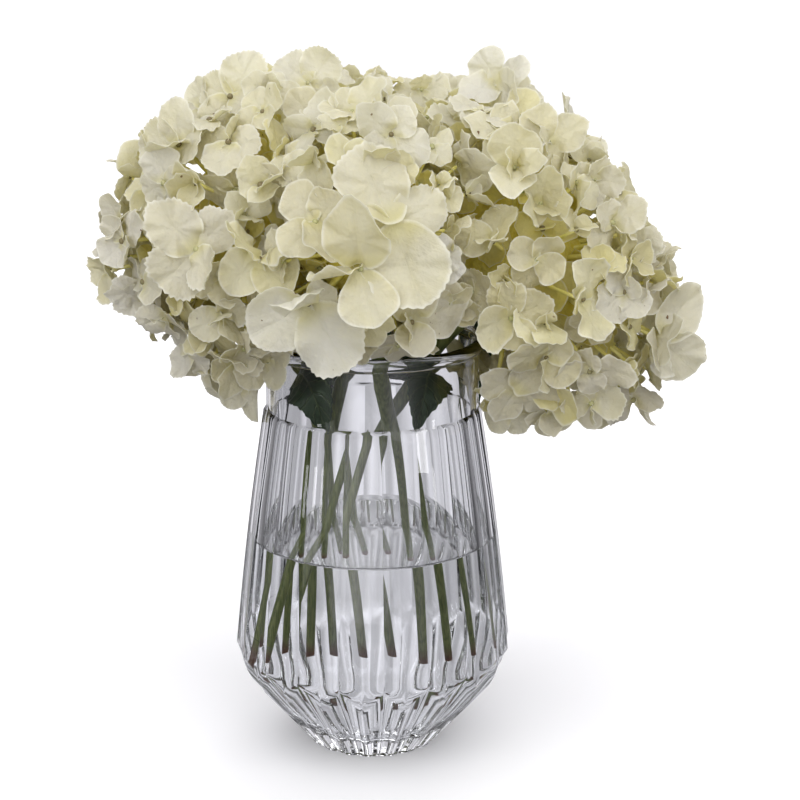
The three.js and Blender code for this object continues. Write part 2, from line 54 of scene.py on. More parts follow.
# Vase. The corners of its outline are pairs of radius and height.
RIDGES = 20
RIDGE_PHASE = 4.3 * DEGREES
STEPS_TO_VALLEY = 8
COLUMNS = 2 * RIDGES * STEPS_TO_VALLEY
FOOT_RADIUS = 27.4
FOOT_SCALLOP = 1.2
FOOT_ROUND = 1.2
BEVEL_PEAK = np.array((55.4, 39.6))
BEVEL_DIP = np.array((50.6, 27.7))
BODY_WIDEST = np.array((56.0, 41.0))
FLUTE_TOP = np.array((43.4, 139.0))
FLUTE_DEPTH_LOW = 1.3
FLUTE_DEPTH_HIGH = 0.7
BODY_BULGE = 0.8
BODY_ROWS = 26
NECK_RADIUS = 42.2
NECK_LOW = 140.5
LIP_RADIUS = 44.5
LIP_HEIGHT = 165.6
VASE_HEIGHT = 168.4
NECK_PROFILE = [
    (NECK_RADIUS, NECK_LOW + 8),
    (NECK_RADIUS, LIP_HEIGHT - 6),
    (NECK_RADIUS + 0.3, LIP_HEIGHT - 4),
]
BASE_THICKNESS = 9.0
INNER_PROFILE = [
    (24, BASE_THICKNESS),
    (31.5, BASE_THICKNESS + 2.5),
    (47, 33),
    (50.2, 44),
    (46.8, 87),
    (39.4, 139),
    (39, 162),
    (39.8, 166),
]

# What each surface of the glass and the water leaves of a lamp's light
GLASS_SHADE = (0.86, 0.86, 0.87)

# Water, which reaches a little into the glass so that no air shows between them
WATER_LEVEL = 88.0
WATER_IN_GLASS = 0.12
MENISCUS_RISE = 1.5
MENISCUS_WIDTH = 3.0

# Stems, from the cut end to the head, the slant of the cut and the knot that each has on its way
STEM_RADIUS = 3.2
STEM_TAPER = 0.12
STEM_SIDES = 20
STEM_STEPS = 44
KNOT = {"place": 0.72, "length": 0.02, "rise": 0.35}
CUT_SLANT = 28 * DEGREES
STEMS = {
    "left": [(-2, 36, 24), (-8, 29, 60), (-17, 17, 108), (-29, 4, 160), (-43, 2, 190)],
    "right": [(-41, -2, 33), (-30, 1, 60), (-8, 6, 108), (25, 9, 160), (51, 4, 187)],
    "front": [(21, 29, 23), (18, 17, 60), (12, 0, 108), (3, -26, 160), (1, -32, 198)],
    "back": [(-21, 29, 26), (-20, 26, 60), (-20, 28, 108), (-9, 25, 160), (0, 36, 196)],
}

# Flower heads. Bead radii give the surface on which the florets' centres sit, and lean turns a head's
# top towards -X.
HEADS = {
    "left": {"centre": np.array((-36, 2, 208)), "beads": np.array((62, 52, 57)), "lean": 0},
    "right": {"centre": np.array((56, 2, 197)), "beads": np.array((49, 54, 72)), "lean": 35 * DEGREES},
    "front": {"centre": np.array((0, -31, 212)), "beads": np.array((39, 42, 48)), "lean": 0},
    "back": {"centre": np.array((2, 38, 212)), "beads": np.array((52, 48, 50)), "lean": 0},
}
CORE_SHARE = 0.52

# Layers of a head: the outer florets away from the front view, smaller ones that fill the gaps between them
# and younger ones deep below. Spacing is the least distance to other florets and margin that to the next
# head, depth is a share of the bead radii, and sway is how far a face may turn. A layer's range of youth
# tints its florets yellow-green, partly their own colour and partly painted shade, the deeper layers
# yellower.
LAYERS = {
    "outer": {
        "prefix": "sepals_", "seed": 977, "candidates": 420, "spacing": 22.5, "margin": 4,
        "sepal": (16, 19), "depth": (0.95, 1.03), "sway": 0.3, "age": (0.0, 0.3),
        "grid": {"spokes": 46, "rings": 4},
    },
    "between": {
        "prefix": "sepals_between_", "seed": 613, "candidates": 1200, "spacing": 11.8, "margin": 1,
        "sepal": (11, 15.5), "depth": (0.88, 1.02), "sway": 0.6, "age": (0.1, 0.55),
        "grid": {"spokes": 24, "rings": 4},
    },
    "young_and_deep": {
        "prefix": "sepals_young_", "seed": 613, "candidates": 900, "spacing": 13.0, "margin": 1,
        "sepal": (9, 14), "depth": (0.62, 0.82), "sway": 0.7, "age": (0.8, 1.0),
        "grid": {"spokes": 16, "rings": 3},
    },
}
SHAPED_GRID = {"spokes": 60, "rings": 5}
DRAWN_CUP = (0.1, 0.45)

# Drawn florets stay off the very underside of a head and this far from the vase
UNDERSIDE = -0.86
VASE_MARGIN = 9

# Sepals that would cut into the vase rest beside its lip, or pressed flat above it
BESIDE_LIP = LIP_RADIUS + 1.2
ABOVE_LIP = VASE_HEIGHT + 1.0
PRESSED = 0.05

# How florets make way for each other: their steps in or out, what a step costs beside a millimetre of
# crossing, the flat disc that stands for a floret, and how far the shaped ones keep others away
LAYER_SHIFTS = (0, 2.5, -2.5, 5, -5, 7.5, -7.5, 10, -10)
SHIFT_COST = 0.2
OUTWARD_COST = 3
DISC_LIFT = 0.3
DISC_REACH = 0.85
CLEARING = 0.3

# How far a face of the front view may turn, the size of its florets on the side heads, and the round patch
# before the lip that drawn florets leave open
FRONT_SWAY = 0.22
SIDE_SIZE = 0.96
LIP_VIEW = {"across": 34, "up": 172, "radius": 17}

# Florets that the front view shows, as (across, up, sepal length, roll, azimuth, elevation, cup).
# Azimuth turns the floret's face from the front towards +X and elevation turns it up, in degrees.
FRONT_VIEW = {
    "front": [
        (7, 224, 26, 24, 4, 14, 0.0),
        (-3, 207, 20, 98, -6, 20, 0.0),
        (-21, 194, 22, 35, -14, 12, 0.1),
        (14, 188, 22, 5, 8, -25, 0.2),
        (-4, 178, 17, 40, 0, -35, 0.2),
        (-19, 224, 18, 50, -25, 12, 0.3),
        (-21, 244, 16, 20, -20, 20, 0.4),
        (7, 253, 17, 60, 8, 34, 0.4),
        (-7, 259, 16, 20, -5, 60, 0.3),
        (24, 235, 15, 10, 22, 14, 0.4),
        (24, 209, 14, 40, 24, -6, 0.4),
    ],
    "left": [
        (-53, 262, 17, 62, -15, 25, 0.1),
        (-66, 258, 13, 10, -35, 30, 0.5),
        (-71, 246, 20, 0, -35, 20, 0.2),
        (-76, 233, 16, 20, -45, 5, 0.3),
        (-95, 216, 16, 45, -60, 12, 0.3),
        (-102, 206, 16, 20, -75, 0, 0.2),
        (-92, 210, 16, 45, -40, 8, 0.5),
        (-102, 194, 14, 10, -70, -10, 0.2),
        (-91, 188, 19, 60, -45, -8, 0.15),
        (-63, 211, 21, 45, -15, 5, 0.25),
        (-55, 200, 15, 10, -10, -10, 0.3),
        (-56, 185, 18, 30, -8, -8, 0.2),
        (-78, 181, 15, 0, -40, -22, 0.3),
        (-53, 164, 16, 0, -8, -22, 0.3),
        (-51, 148, 17, 45, -5, -14, 0.1),
        (-40, 163, 15, 30, 5, -20, 0.4),
        (-40, 207, 18, 45, -5, 25, 0.1),
        (-40, 234, 16, 20, -5, 15, 0.5),
        (-22, 256, 16, 45, 0, 20, 0.4),
        (-24, 266, 18, 50, -5, 28, 0.1),
        (-40, 258, 14, 30, -10, 35, 0.4),
        (-53, 249, 15, 0, -15, 25, 0.3),
        (-54, 233, 18, 15, -18, 14, 0.3),
        (-70, 205, 14, 20, -35, 0, 0.3),
        (-70, 167, 14, 50, -30, -30, 0.2),
        (-37, 263, 14, 0, -10, 50, 0.4),
    ],
    "right": [
        (48, 265, 17, 40, -5, 50, 0.3),
        (58, 260, 15, 10, 12, 40, 0.3),
        (41, 257, 15, 45, -5, 62, 0.2),
        (52, 239, 19, 0, -5, 14, 0.1),
        (66, 247, 16, 20, 18, 20, 0.3),
        (78, 246, 15, 30, 38, 25, 0.3),
        (83, 233, 15, 0, 35, 0, 0.5),
        (94, 226, 16, 20, 52, 15, 0.3),
        (89, 218, 17, 45, 25, -10, 0.5),
        (63, 227, 16, 0, 8, 5, 0.6),
        (44, 214, 17, 80, -18, 5, 0.4),
        (60, 207, 17, 60, -5, 0, 0.3),
        (72, 193, 14, 0, 55, 5, 0.2),
        (93, 193, 16, 30, 25, 5, 0.4),
        (103, 203, 15, 10, 45, 5, 0.3),
        (111, 196, 15, 40, 52, 5, 0.3),
        (109, 171, 25, -40, 24, 4, 0.05),
        (104, 141, 14, 30, 30, -22, 0.2),
        (83, 149, 14, 10, 10, -15, 0.2),
        (54, 141, 14, 20, -5, -12, 0.1),
        (54, 156, 17, 60, -8, -24, 0.1),
        (51, 186, 18, 20, -10, -6, 0.3),
        (36, 195, 13, 60, -25, 0, 0.4),
        (65, 169, 18, 70, 0, -15, 0.2),
        (85, 178, 16, 40, 15, -8, 0.4),
        (81, 164, 15, 10, 10, -22, 0.3),
        (32, 259, 13, 20, -25, 38, 0.4),
    ],
    "back": [
        (-10, 260, 16, 30, -15, 50, 0.3),
        (6, 258, 16, 45, -5, 45, 0.3),
        (20, 260, 14, 10, 0, 50, 0.3),
        (33, 259, 14, 45, 10, 50, 0.3),
    ],
}

# The florets that stand out most: how far each comes forward, how far its sepals stand up, how they twist
# about their length, their shares of the length and of the width, and their teeth
SHAPED = {
    ("front", 0): {"proud": 4, "fold": (-0.1, -0.1, -0.2, 0.1), "twist": (0.1, -0.1, 0.0, -0.1),
                   "share": (0.9, 1.4, 0.7, 1.3), "wide": (0.9, 0.85, 1.0, 0.9), "toothed": 0.03},
    ("front", 1): {"proud": 9, "fold": (0.9, 0.2, 0.1, -0.5), "twist": (0.1, -1.35, 0.0, 0.0),
                   "share": (1.3, 1.05, 1.2, 0.5), "wide": (1.2, 0.8, 0.9, 1.0), "toothed": 0.008},
    ("front", 2): {"proud": 6, "fold": (-0.5, 1.4, -0.1, -0.1), "twist": (0.0, 0.0, 0.1, 0.0),
                   "share": (0.5, 0.9, 1.25, 1.35), "toothed": 0.02},
    ("front", 5): {"proud": 1, "fold": (0.1, -0.1, 0.2, 0.3), "twist": (0.0, 0.0, 0.2, 1.2),
                   "share": (0.9, 1.0, 1.0, 1.2), "toothed": 0.006},
    ("left", 0): {"proud": 0, "fold": (0.1, -0.2, 0.0, 0.1),
                  "share": (1.15, 0.9, 1.0, 1.0), "toothed": 0.03},
    ("left", 9): {"proud": 2, "fold": (-0.1, 0.05, 0.1, 0.3),
                  "share": (0.9, 1.1, 1.1, 0.9), "toothed": 0.04},
    ("left", 16): {"proud": 4, "fold": (0.5, 0.6, -0.1, 0.0), "twist": (1.2, -1.1, 0.0, 0.1),
                   "share": (1.1, 1.2, 1.1, 1.1), "toothed": 0.006},
    ("left", 19): {"proud": 0, "fold": (0.1, 0.0, 0.0, 0.1),
                   "share": (1.0, 1.1, 1.0, 0.9), "toothed": 0.035},
    ("right", 0): {"proud": 1, "fold": (0.2, 0.4, 0.0, 0.1), "twist": (0.2, 0.9, 0.0, -1.1),
                   "share": (1.0, 1.0, 1.0, 1.2), "toothed": 0.01},
    ("right", 3): {"proud": 4, "fold": (1.1, 0.5, 1.3, 1.25), "twist": (0.0,) * 4,
                   "share": (1.0, 1.0, 0.8, 1.0), "wide": (0.8, 1.15, 0.8, 1.1), "toothed": 0.008},
    ("right", 12): {"proud": 5, "fold": (0.1, 0.2, 0.1, 0.3),
                    "share": (0.8, 1.3, 0.8, 1.3), "toothed": 0.006},
    ("right", 16): {"proud": 2, "fold": (-0.1, 0.0, 1.2, 0.9), "share": (1.1, 1.15, 0.8, 0.8),
                    "wide": (0.85, 0.85, 1.0, 1.0), "toothed": 0.01},
}

# Sepals. A folded one keeps a share of its length, and the middle of a side head is greener.
SEPALS = 4
SEPAL_THICKNESS = 0.22
SEPAL_WIDTH = 1.06
SEPAL_MIDDLE = 0.49
PAIR_LIFT = 0.45
FOLDED_LENGTH = 0.72
MIDDLE_AGE = 0.2

# Shares of florets that lie open, make a cup or have teeth, and of sepals that turn on their side
OPEN_SHARE = 0.38
CUPPED_SHARE = 0.2
TOOTHED_SHARE = 0.65
TWISTED_SHARE = 0.12

# Ripples round a sepal's margin: least and most height, how fast they fade inwards, and their number
RIPPLES = ((0.02, 0.07, 3, 4), (0.01, 0.05, 3, 7), (0.01, 0.025, 2, 11))

# Buds and stalks
BEAD_RADIUS = 1.2
PEDICEL_RADIUS = 0.65
BRANCH_RADIUS = 1.3

# Leaves: the stem and the height where each grows, its width, where its face looks and the bends of its
# midrib
LEAF_THICKNESS = 0.6
LEAF_STEPS = 70
LEAF_HALF_COLUMNS = 7
LEAF_TEETH = 14
LEAF_FOLD = 0.16
LEAF_SEAT = 0.6
LEAF_VEINS = {"count": 9, "slant": 1.3}
TOOTH = 0.14
PETIOLE_HALF_WIDTH = 1.3
PETIOLE_SHARE = 0.2
LEAVES = {
    "neck_left": {
        "stem": "left", "height": 158, "width": 22, "face": (-0.45, -1, 0.1),
        "midrib": [(-27, -11, 157), (-22, -23, 151), (-17, -25, 134)],
    },
    "neck_right": {
        "stem": "right", "height": 158, "width": 22, "face": (0.4, -1, 0.15),
        "midrib": [(22, -8, 159), (20, -20, 153), (16, -27, 136)],
    },
    "neck_back": {
        "stem": "back", "height": 158, "width": 20, "face": (0.3, 1, 0),
        "midrib": [(8, 28, 158), (17, 28, 150), (20, 27, 134)],
    },
    "outside_right": {
        "stem": "right", "height": 161, "width": 24, "face": (0.6, 0.8, 0.1),
        "midrib": [(31, 23, 175), (43, 35, 172), (44, 36, 127)],
    },
    "outside_back": {
        "stem": "back", "height": 175, "width": 34, "face": (-0.1, 1, 0.1),
        "midrib": [(-14, 40, 174), (-17, 52, 163), (-18, 51, 122)],
    },
}

# The photograph's camera
CAMERA_PLACE = (0, -713.3, 331.1)
CAMERA_PITCH = 14.87 * DEGREES
CAMERA_YAW = 0.88 * DEGREES
FOCAL_PIXELS = 1853.9
IMAGE_PIXELS = 800
SENSOR_WIDTH = 36.0

# Brightness of the surroundings by height, from straight down at 0 over the horizon at 0.5 to straight up
# at 1, and what is left of it straight to the sides
SURROUNDINGS = ((0.0, 0.35), (0.22, 0.5), (0.37, 0.85), (0.5, 0.8), (0.62, 0.7), (0.76, 0.85), (1.0, 0.95))
SIDES_LEFT = 0.15

# Half the floor's width, the overhead sun, and soft lamps, in metres and watts
FLOOR_REACH = 12.0
SUN = {"strength": 1.8, "spread": 110 * DEGREES, "turn": (44 * DEGREES, -16 * DEGREES, 0)}
SOFT_LAMPS = {
    "left_strip": {"place": (-1.2, -0.7, 0.6), "target": (0, 0, 0.12), "size": (0.16, 1.2), "power": 4},
    "right_strip": {"place": (1.2, -0.5, 0.6), "target": (0, 0, 0.12), "size": (0.16, 1.2), "power": 4},
    "back_box": {"place": (0.5, 1.6, 1.2), "target": (0, 0, 0.2), "size": (1.2, 0.8), "power": 8},
}


# Small helpers

def unit(vector):
    return vector / np.linalg.norm(vector)


def part_way(low, high, share):
    return low + (high - low) * share


def seeded(seed):
    """A function that draws the next number of a fixed series between low and high."""
    state = float(seed)

    def draw(low=0.0, high=1.0):
        nonlocal state
        state = (state * 1103515245.0 + 12345.0) % 2147483648.0
        return part_way(low, high, state / 2147483648.0)

    return draw


def shake(draw):
    return np.array([draw(-1, 1) for _ in range(3)])


def in_scene(name, data, place=(0, 0, 0), turn=(0, 0, 0)):
    """A new object of the scene."""
    piece = bpy.data.objects.new(name, data)
    piece.location = place
    piece.rotation_euler = turn
    bpy.context.scene.collection.objects.link(piece)
    return piece


def smooth_path(points, count):
    """count places along a centripetal Catmull-Rom curve through the points."""
    points = np.array(points, float)
    first = 2 * points[0] - points[1]
    last = 2 * points[-1] - points[-2]
    knots = np.vstack([first, points, last])
    places = []
    for place in np.linspace(0, len(points) - 1, count):
        segment = min(int(place), len(points) - 2)
        share = place - segment
        p = knots[segment:segment + 4]
        gaps = np.maximum(np.linalg.norm(np.diff(p, axis=0), axis=1) ** 0.5, 1e-6)
        start = (p[1] - p[0]) / gaps[0] - (p[2] - p[0]) / (gaps[0] + gaps[1]) + (p[2] - p[1]) / gaps[1]
        end = (p[2] - p[1]) / gaps[1] - (p[3] - p[1]) / (gaps[1] + gaps[2]) + (p[3] - p[2]) / gaps[2]
        start = start * gaps[1]
        end = end * gaps[1]
        cubic = 2 * p[1] - 2 * p[2] + start + end
        square = -3 * p[1] + 3 * p[2] - 2 * start - end
        places.append(cubic * share ** 3 + square * share ** 2 + start * share + p[1])
    return np.array(places)


# Meshes

class Build:
    """Collects the vertices, faces and point values of one piece."""

    def __init__(self):
        self.points = []
        self.faces = []
        self.values = {}
        self.total = 0

    def add(self, points, faces, **values):
        self.points.append(np.asarray(points, float))
        self.faces.extend(tuple(int(c) + self.total for c in face) for face in faces)
        self.total += len(points)
        for name, value in values.items():
            filled = np.broadcast_to(np.asarray(value, float), (len(points),))
            self.values.setdefault(name, []).append(filled)

    def piece(self, name, material, sharp_angle=None):
        mesh = bpy.data.meshes.new(name)
        mesh.from_pydata((np.vstack(self.points) * MM).tolist(), [], self.faces)
        for key, parts in self.values.items():
            attribute = mesh.attributes.new(key, "FLOAT", "POINT")
            attribute.data.foreach_set("value", np.concatenate(parts).astype(np.float32))
        mesh.polygons.foreach_set("use_smooth", [True] * len(mesh.polygons))
        if sharp_angle is not None:
            mesh.set_sharp_from_angle(angle=sharp_angle)
        mesh.materials.append(material)
        mesh.update()
        return in_scene(name, mesh)


def grid_faces(rows, columns, closed=True, start=0):
    """Quads between neighbouring rows of points, the rows running up and the columns to the left."""
    last = columns if closed else columns - 1
    for row in range(rows - 1):
        for column in range(last):
            beside = (column + 1) % columns
            low = start + row * columns
            high = low + columns
            yield low + column, low + beside, high + beside, high + column


def closed_faces(rows, columns):
    """Faces of a closed body of rows, with its foot point and its top point after them."""
    faces = list(grid_faces(rows, columns))
    foot = rows * columns
    last = foot - columns
    for column in range(columns):
        beside = (column + 1) % columns
        faces.append((foot, beside, column))
        faces.append((foot + 1, last + column, last + beside))
    return faces


def tube(build, path, radii, sides, **values):
    """A closed tube along a path, with a radius at each of its points."""
    tangents = np.gradient(path, axis=0)
    turns = np.linspace(0, 2 * math.pi, sides, endpoint=False)[:, None]
    across = unit(np.cross(tangents[0], (0.3, 0.5, 0.8)))
    rings = []
    for centre, tangent, radius in zip(path, tangents, radii):
        tangent = unit(tangent)
        across = unit(across - tangent * (across @ tangent))
        beside = np.cross(tangent, across)
        rings.append(centre + radius * (np.cos(turns) * across + np.sin(turns) * beside))
    build.add(np.vstack([*rings, path[:1], path[-1:]]), closed_faces(len(path), sides), **values)


def blade(build, points, normals, half, faces, edge, **values):
    """A thin closed blade: a front and a back skin, joined round an edge of point numbers."""
    count = len(points)
    back = [tuple(c + count for c in reversed(face)) for face in faces]
    walls = [(a, a + count, b + count, b) for a, b in zip(edge, edge[1:] + edge[:1])]
    twice = {name: np.tile(np.broadcast_to(value, (count,)), 2) for name, value in values.items()}
    skins = np.vstack([points + normals * half, points - normals * half])
    build.add(skins, [*faces, *back, *walls], **twice)


# Vase and water

def vase_row(ridge, valley):
    """One row of points between a corner on the ridges and one in the valleys, on hollow curves."""
    points = []
    for column in range(COLUMNS):
        place = column % (2 * STEPS_TO_VALLEY)
        share = min(place, 2 * STEPS_TO_VALLEY - place) / STEPS_TO_VALLEY
        radius = part_way(ridge[0], valley[0], 1 - (1 - share) ** 2)
        height = part_way(ridge[1], valley[1], share)
        angle = RIDGE_PHASE + column * math.pi / RIDGES / STEPS_TO_VALLEY
        points.append((radius * math.sin(angle), -radius * math.cos(angle), height))
    return points


def round_row(radius, height):
    return vase_row((radius, height), (radius, height))


def inner_wall(count):
    """Pairs of radius and height up the smooth inner wall."""
    curve = smooth_path([(radius, 0, height) for radius, height in INNER_PROFILE], 200)
    steps = np.linspace(0, len(curve) - 1, count).round().astype(int)
    return curve[steps][:, [0, 2]]


def outer_rows():
    """The foot's round edge, the faceted bevel, the fluted body and the shoulder that ends the flutes."""
    rows = []
    for turn in np.linspace(0, math.pi / 2, 4):
        inset = FOOT_ROUND * (1 - math.sin(turn))
        height = FOOT_ROUND * (1 - math.cos(turn))
        ridge = FOOT_RADIUS - FOOT_SCALLOP / 2 - inset
        rows.append(vase_row((ridge, height), (ridge + FOOT_SCALLOP, height)))
    low_radius = BODY_WIDEST[0] - FLUTE_DEPTH_LOW
    for share in (1, 0.7, 0.35):
        radius = part_way(low_radius, BEVEL_DIP[0], share ** 2)
        height = part_way(BODY_WIDEST[1], BEVEL_DIP[1], share)
        rows.append(vase_row(part_way(BODY_WIDEST, BEVEL_PEAK, share), (radius, height)))
    for share in np.linspace(0, 1, BODY_ROWS + 1):
        radius, height = part_way(BODY_WIDEST, FLUTE_TOP, share)
        radius += BODY_BULGE * math.sin(math.pi * share)
        depth = part_way(FLUTE_DEPTH_LOW, FLUTE_DEPTH_HIGH, share)
        rows.append(vase_row((radius, height), (radius - depth, height)))
    for share in (0.35, 0.7, 1.0):
        ridge = part_way(FLUTE_TOP[0], NECK_RADIUS, share ** 2)
        valley = part_way(FLUTE_TOP[0] - FLUTE_DEPTH_HIGH, NECK_RADIUS, share)
        height = part_way(FLUTE_TOP[1], NECK_LOW, share)
        rows.append(vase_row((ridge, height), (valley, height)))
    return rows


def lip_rows():
    """The neck, and the rolled lip from there round its outside to the inner wall."""
    inner_radius = INNER_PROFILE[-1][0]
    half_width = (LIP_RADIUS - inner_radius) / 2
    rise = VASE_HEIGHT - LIP_HEIGHT
    rows = [round_row(*place) for place in NECK_PROFILE]
    for turn in np.linspace(-70, 160, 12) * DEGREES:
        radius = inner_radius + half_width * (1 + math.cos(turn))
        rows.append(round_row(radius, LIP_HEIGHT + rise * math.sin(turn)))
    return rows


def closed_of_rows(rows, first, last):
    """A closed body from rows that run from a middle point at the first height to one at the last."""
    build = Build()
    build.add(np.vstack([*rows, [(0, 0, first), (0, 0, last)]]), closed_faces(len(rows), COLUMNS))
    return build


def vase(material):
    wall = [round_row(*place) for place in inner_wall(34)[::-1]]
    build = closed_of_rows(outer_rows() + lip_rows() + wall, 0, BASE_THICKNESS)
    return build.piece("vase_glass", material, 22 * DEGREES)


def water(material):
    """The water, with its edge drawn up the glass."""
    wall = inner_wall(120)
    rows = [round_row(radius + WATER_IN_GLASS, height - WATER_IN_GLASS)
            for radius, height in wall if height < WATER_LEVEL][::4]
    edge = np.interp(WATER_LEVEL, wall[:, 1], wall[:, 0]) + WATER_IN_GLASS
    surface = WATER_LEVEL - MENISCUS_RISE
    for share in (0, 0.15, 0.35, 0.6, 1):
        rows.append(round_row(edge - MENISCUS_WIDTH * share, surface + MENISCUS_RISE * (1 - share) ** 3))
    build = closed_of_rows(rows, BASE_THICKNESS - WATER_IN_GLASS, surface)
    return build.piece("vase_water", material, 40 * DEGREES)


# Stems

def stem(name, material):
    """One stem: a tapered tube with a knot, its lower end cut at a slant."""
    path = smooth_path(STEMS[name], STEM_STEPS)
    share = np.linspace(0, 1, STEM_STEPS)
    knot = KNOT["rise"] * np.exp(-((share - KNOT["place"]) / KNOT["length"]) ** 2)
    radii = STEM_RADIUS * (1 - STEM_TAPER * share) + knot
    build = Build()
    tube(build, path, radii, STEM_SIDES, along=np.append(np.repeat(share, STEM_SIDES), (0, 1)))
    points = build.points[0]
    along = unit(path[1] - path[0])
    slant = np.cross(unit(np.cross((0, 0, 1), along)), along)
    for i in [*range(STEM_SIDES), len(points) - 2]:
        offset = points[i] - path[0]
        points[i] += along * (offset @ slant) * math.tan(CUT_SLANT)
    return build.piece("stem_" + name + "_green", material, 50 * DEGREES)


# Florets

def face_vector(azimuth, elevation):
    """Unit vector of a face turned by azimuth from the front towards +X and by elevation upwards."""
    flat = math.cos(elevation)
    return np.array([flat * math.sin(azimuth), -flat * math.cos(azimuth), math.sin(elevation)])


def leaned(direction, lean):
    """A direction of a head's own axes as one of the arrangement, or the other way round for -lean."""
    x, y, z = direction
    return np.array([x * math.cos(lean) - z * math.sin(lean), y, x * math.sin(lean) + z * math.cos(lean)])


def partings(name):
    """The planes that part a head from the others, each as a unit normal towards it and a distance."""
    planes = []
    own = HEADS[name]
    for other in [head for head in HEADS.values() if head is not own]:
        between = own["centre"] - other["centre"]
        normal = unit(between)
        own_reach, other_reach = [1 / np.linalg.norm(leaned(normal, -each["lean"]) / each["beads"])
                                  for each in (own, other)]
        middle = other["centre"] + between * other_reach / (own_reach + other_reach)
        planes.append((normal, middle @ normal))
    return planes


def clear_of_vase(bead):
    out = math.hypot(bead[0], bead[1])
    return bead[2] > VASE_HEIGHT + VASE_MARGIN or out > LIP_RADIUS + VASE_MARGIN


def disc(floret):
    """Middle and radius of the flat disc that stands for a floret."""
    middle = floret["bead"] + floret["face"] * DISC_LIFT * floret["sepal"] * floret["cup"]
    return middle, DISC_REACH * floret["sepal"]


def crossing(a, b):
    """Length over which two florets, taken as flat discs, would cut through each other."""
    middle_a, reach_a = disc(a)
    middle_b, reach_b = disc(b)
    apart = middle_b - middle_a
    if apart @ apart > (reach_a + reach_b) ** 2:
        return 0
    line = np.cross(a["face"], b["face"])
    if np.linalg.norm(line) < 0.05:
        return 0
    line = unit(line)
    to_line = np.cross(line, a["face"])
    off_a = apart @ b["face"] / (to_line @ b["face"])
    on_line = middle_a + to_line * off_a
    along = (middle_b - on_line) @ line
    off_b = np.linalg.norm(on_line + line * along - middle_b)
    if abs(off_a) >= reach_a or off_b >= reach_b:
        return 0
    half_a = math.sqrt(reach_a ** 2 - off_a ** 2)
    half_b = math.sqrt(reach_b ** 2 - off_b ** 2)
    return max(0, min(half_a, along + half_b) - max(-half_a, along - half_b))


def layered(florets):
    """Moves each floret in or out along its face, so that neighbours overlap in layers."""
    settled = []
    for floret in sorted(florets, key=lambda each: not each["shaped"]):
        shifts = [floret["shaped"]["proud"]] if floret["shaped"] else LAYER_SHIFTS
        moves = [{**floret, "bead": floret["bead"] + floret["face"] * shift} for shift in shifts]
        costs = [sum(crossing(move, other) for other in settled)
                 + SHIFT_COST * abs(shift) * (OUTWARD_COST if shift > 0 else 1)
                 for move, shift in zip(moves, shifts)]
        settled.append(moves[costs.index(min(costs))])
    return settled


def before_lip(bead):
    """Whether a place lies in the patch that stays open, so that the lip shows between the heads."""
    away = math.hypot(bead[0] - LIP_VIEW["across"], bead[2] - LIP_VIEW["up"])
    return bead[1] < 0 and away < LIP_VIEW["radius"]


def spread(name, draw, rule):
    """Places spread over a head by the golden angle, with drawn sizes and turns."""
    centre, beads, lean = HEADS[name].values()
    planes = partings(name)
    golden = math.pi * (3 - math.sqrt(5))
    found = []
    for i in range(rule["candidates"]):
        up = 1 - (2 * i + 1) / rule["candidates"]
        flat = math.sqrt(1 - up * up)
        direction = np.array([flat * math.cos(i * golden), flat * math.sin(i * golden), up])
        bead = centre + leaned(direction * beads, lean) * draw(*rule["depth"])
        outward = unit(leaned(direction / beads, lean))
        floret = {"bead": bead, "sepal": draw(*rule["sepal"]), "roll": draw(0, math.pi / 2),
                  "cup": draw(*DRAWN_CUP), "face": unit(outward + shake(draw) * rule["sway"]), "shaped": {}}
        own = all(bead @ normal > distance + rule["margin"] for normal, distance in planes)
        if outward[2] > UNDERSIDE and own and clear_of_vase(bead) and not before_lip(bead):
            found.append(floret)
    return found


def fill_gaps(florets, spare, spacing):
    """The spare florets that the widest gaps take, one by one, until no gap is as wide as the spacing."""
    places = np.array([floret["bead"] for floret in spare])
    room = np.full(len(spare), np.inf)
    for floret in florets:
        clearing = CLEARING * floret["sepal"] if floret["shaped"] else 0
        room = np.minimum(room, np.linalg.norm(places - floret["bead"], axis=1) - clearing)
    added = []
    while room.max() >= spacing:
        widest = int(room.argmax())
        added.append(spare[widest])
        room = np.minimum(room, np.linalg.norm(places - places[widest], axis=1))
    return added


def front_florets(name):
    """The florets that the front view shows, set on the near side of the head."""
    draw = seeded(len(name) * 271 + 5)
    centre, beads, lean = HEADS[name].values()
    florets = []
    for index, (x, z, sepal, roll, azimuth, elevation, cup) in enumerate(FRONT_VIEW[name]):
        offset = leaned((x - centre[0], 0, z - centre[2]), -lean) / beads
        y = centre[1] - beads[1] * math.sqrt(max(0, 1 - offset @ offset))
        shaped = SHAPED.get((name, index), {})
        size = 1 if shaped or name == "front" else SIDE_SIZE
        sway = shake(draw) * (0 if shaped else FRONT_SWAY)
        face = unit(face_vector(azimuth * DEGREES, elevation * DEGREES) + sway)
        florets.append({"bead": np.array([x, y, z], float), "face": face, "sepal": sepal * size,
                        "roll": roll * DEGREES, "cup": cup, "shaped": shaped})
    return florets


def drawn_florets(name, rule, others):
    """Florets that a layer's rule adds, each at least its spacing from every other floret."""
    draw = seeded(len(name) * rule["seed"] + HEADS[name]["centre"][2])
    return fill_gaps(others, spread(name, draw, rule), rule["spacing"])


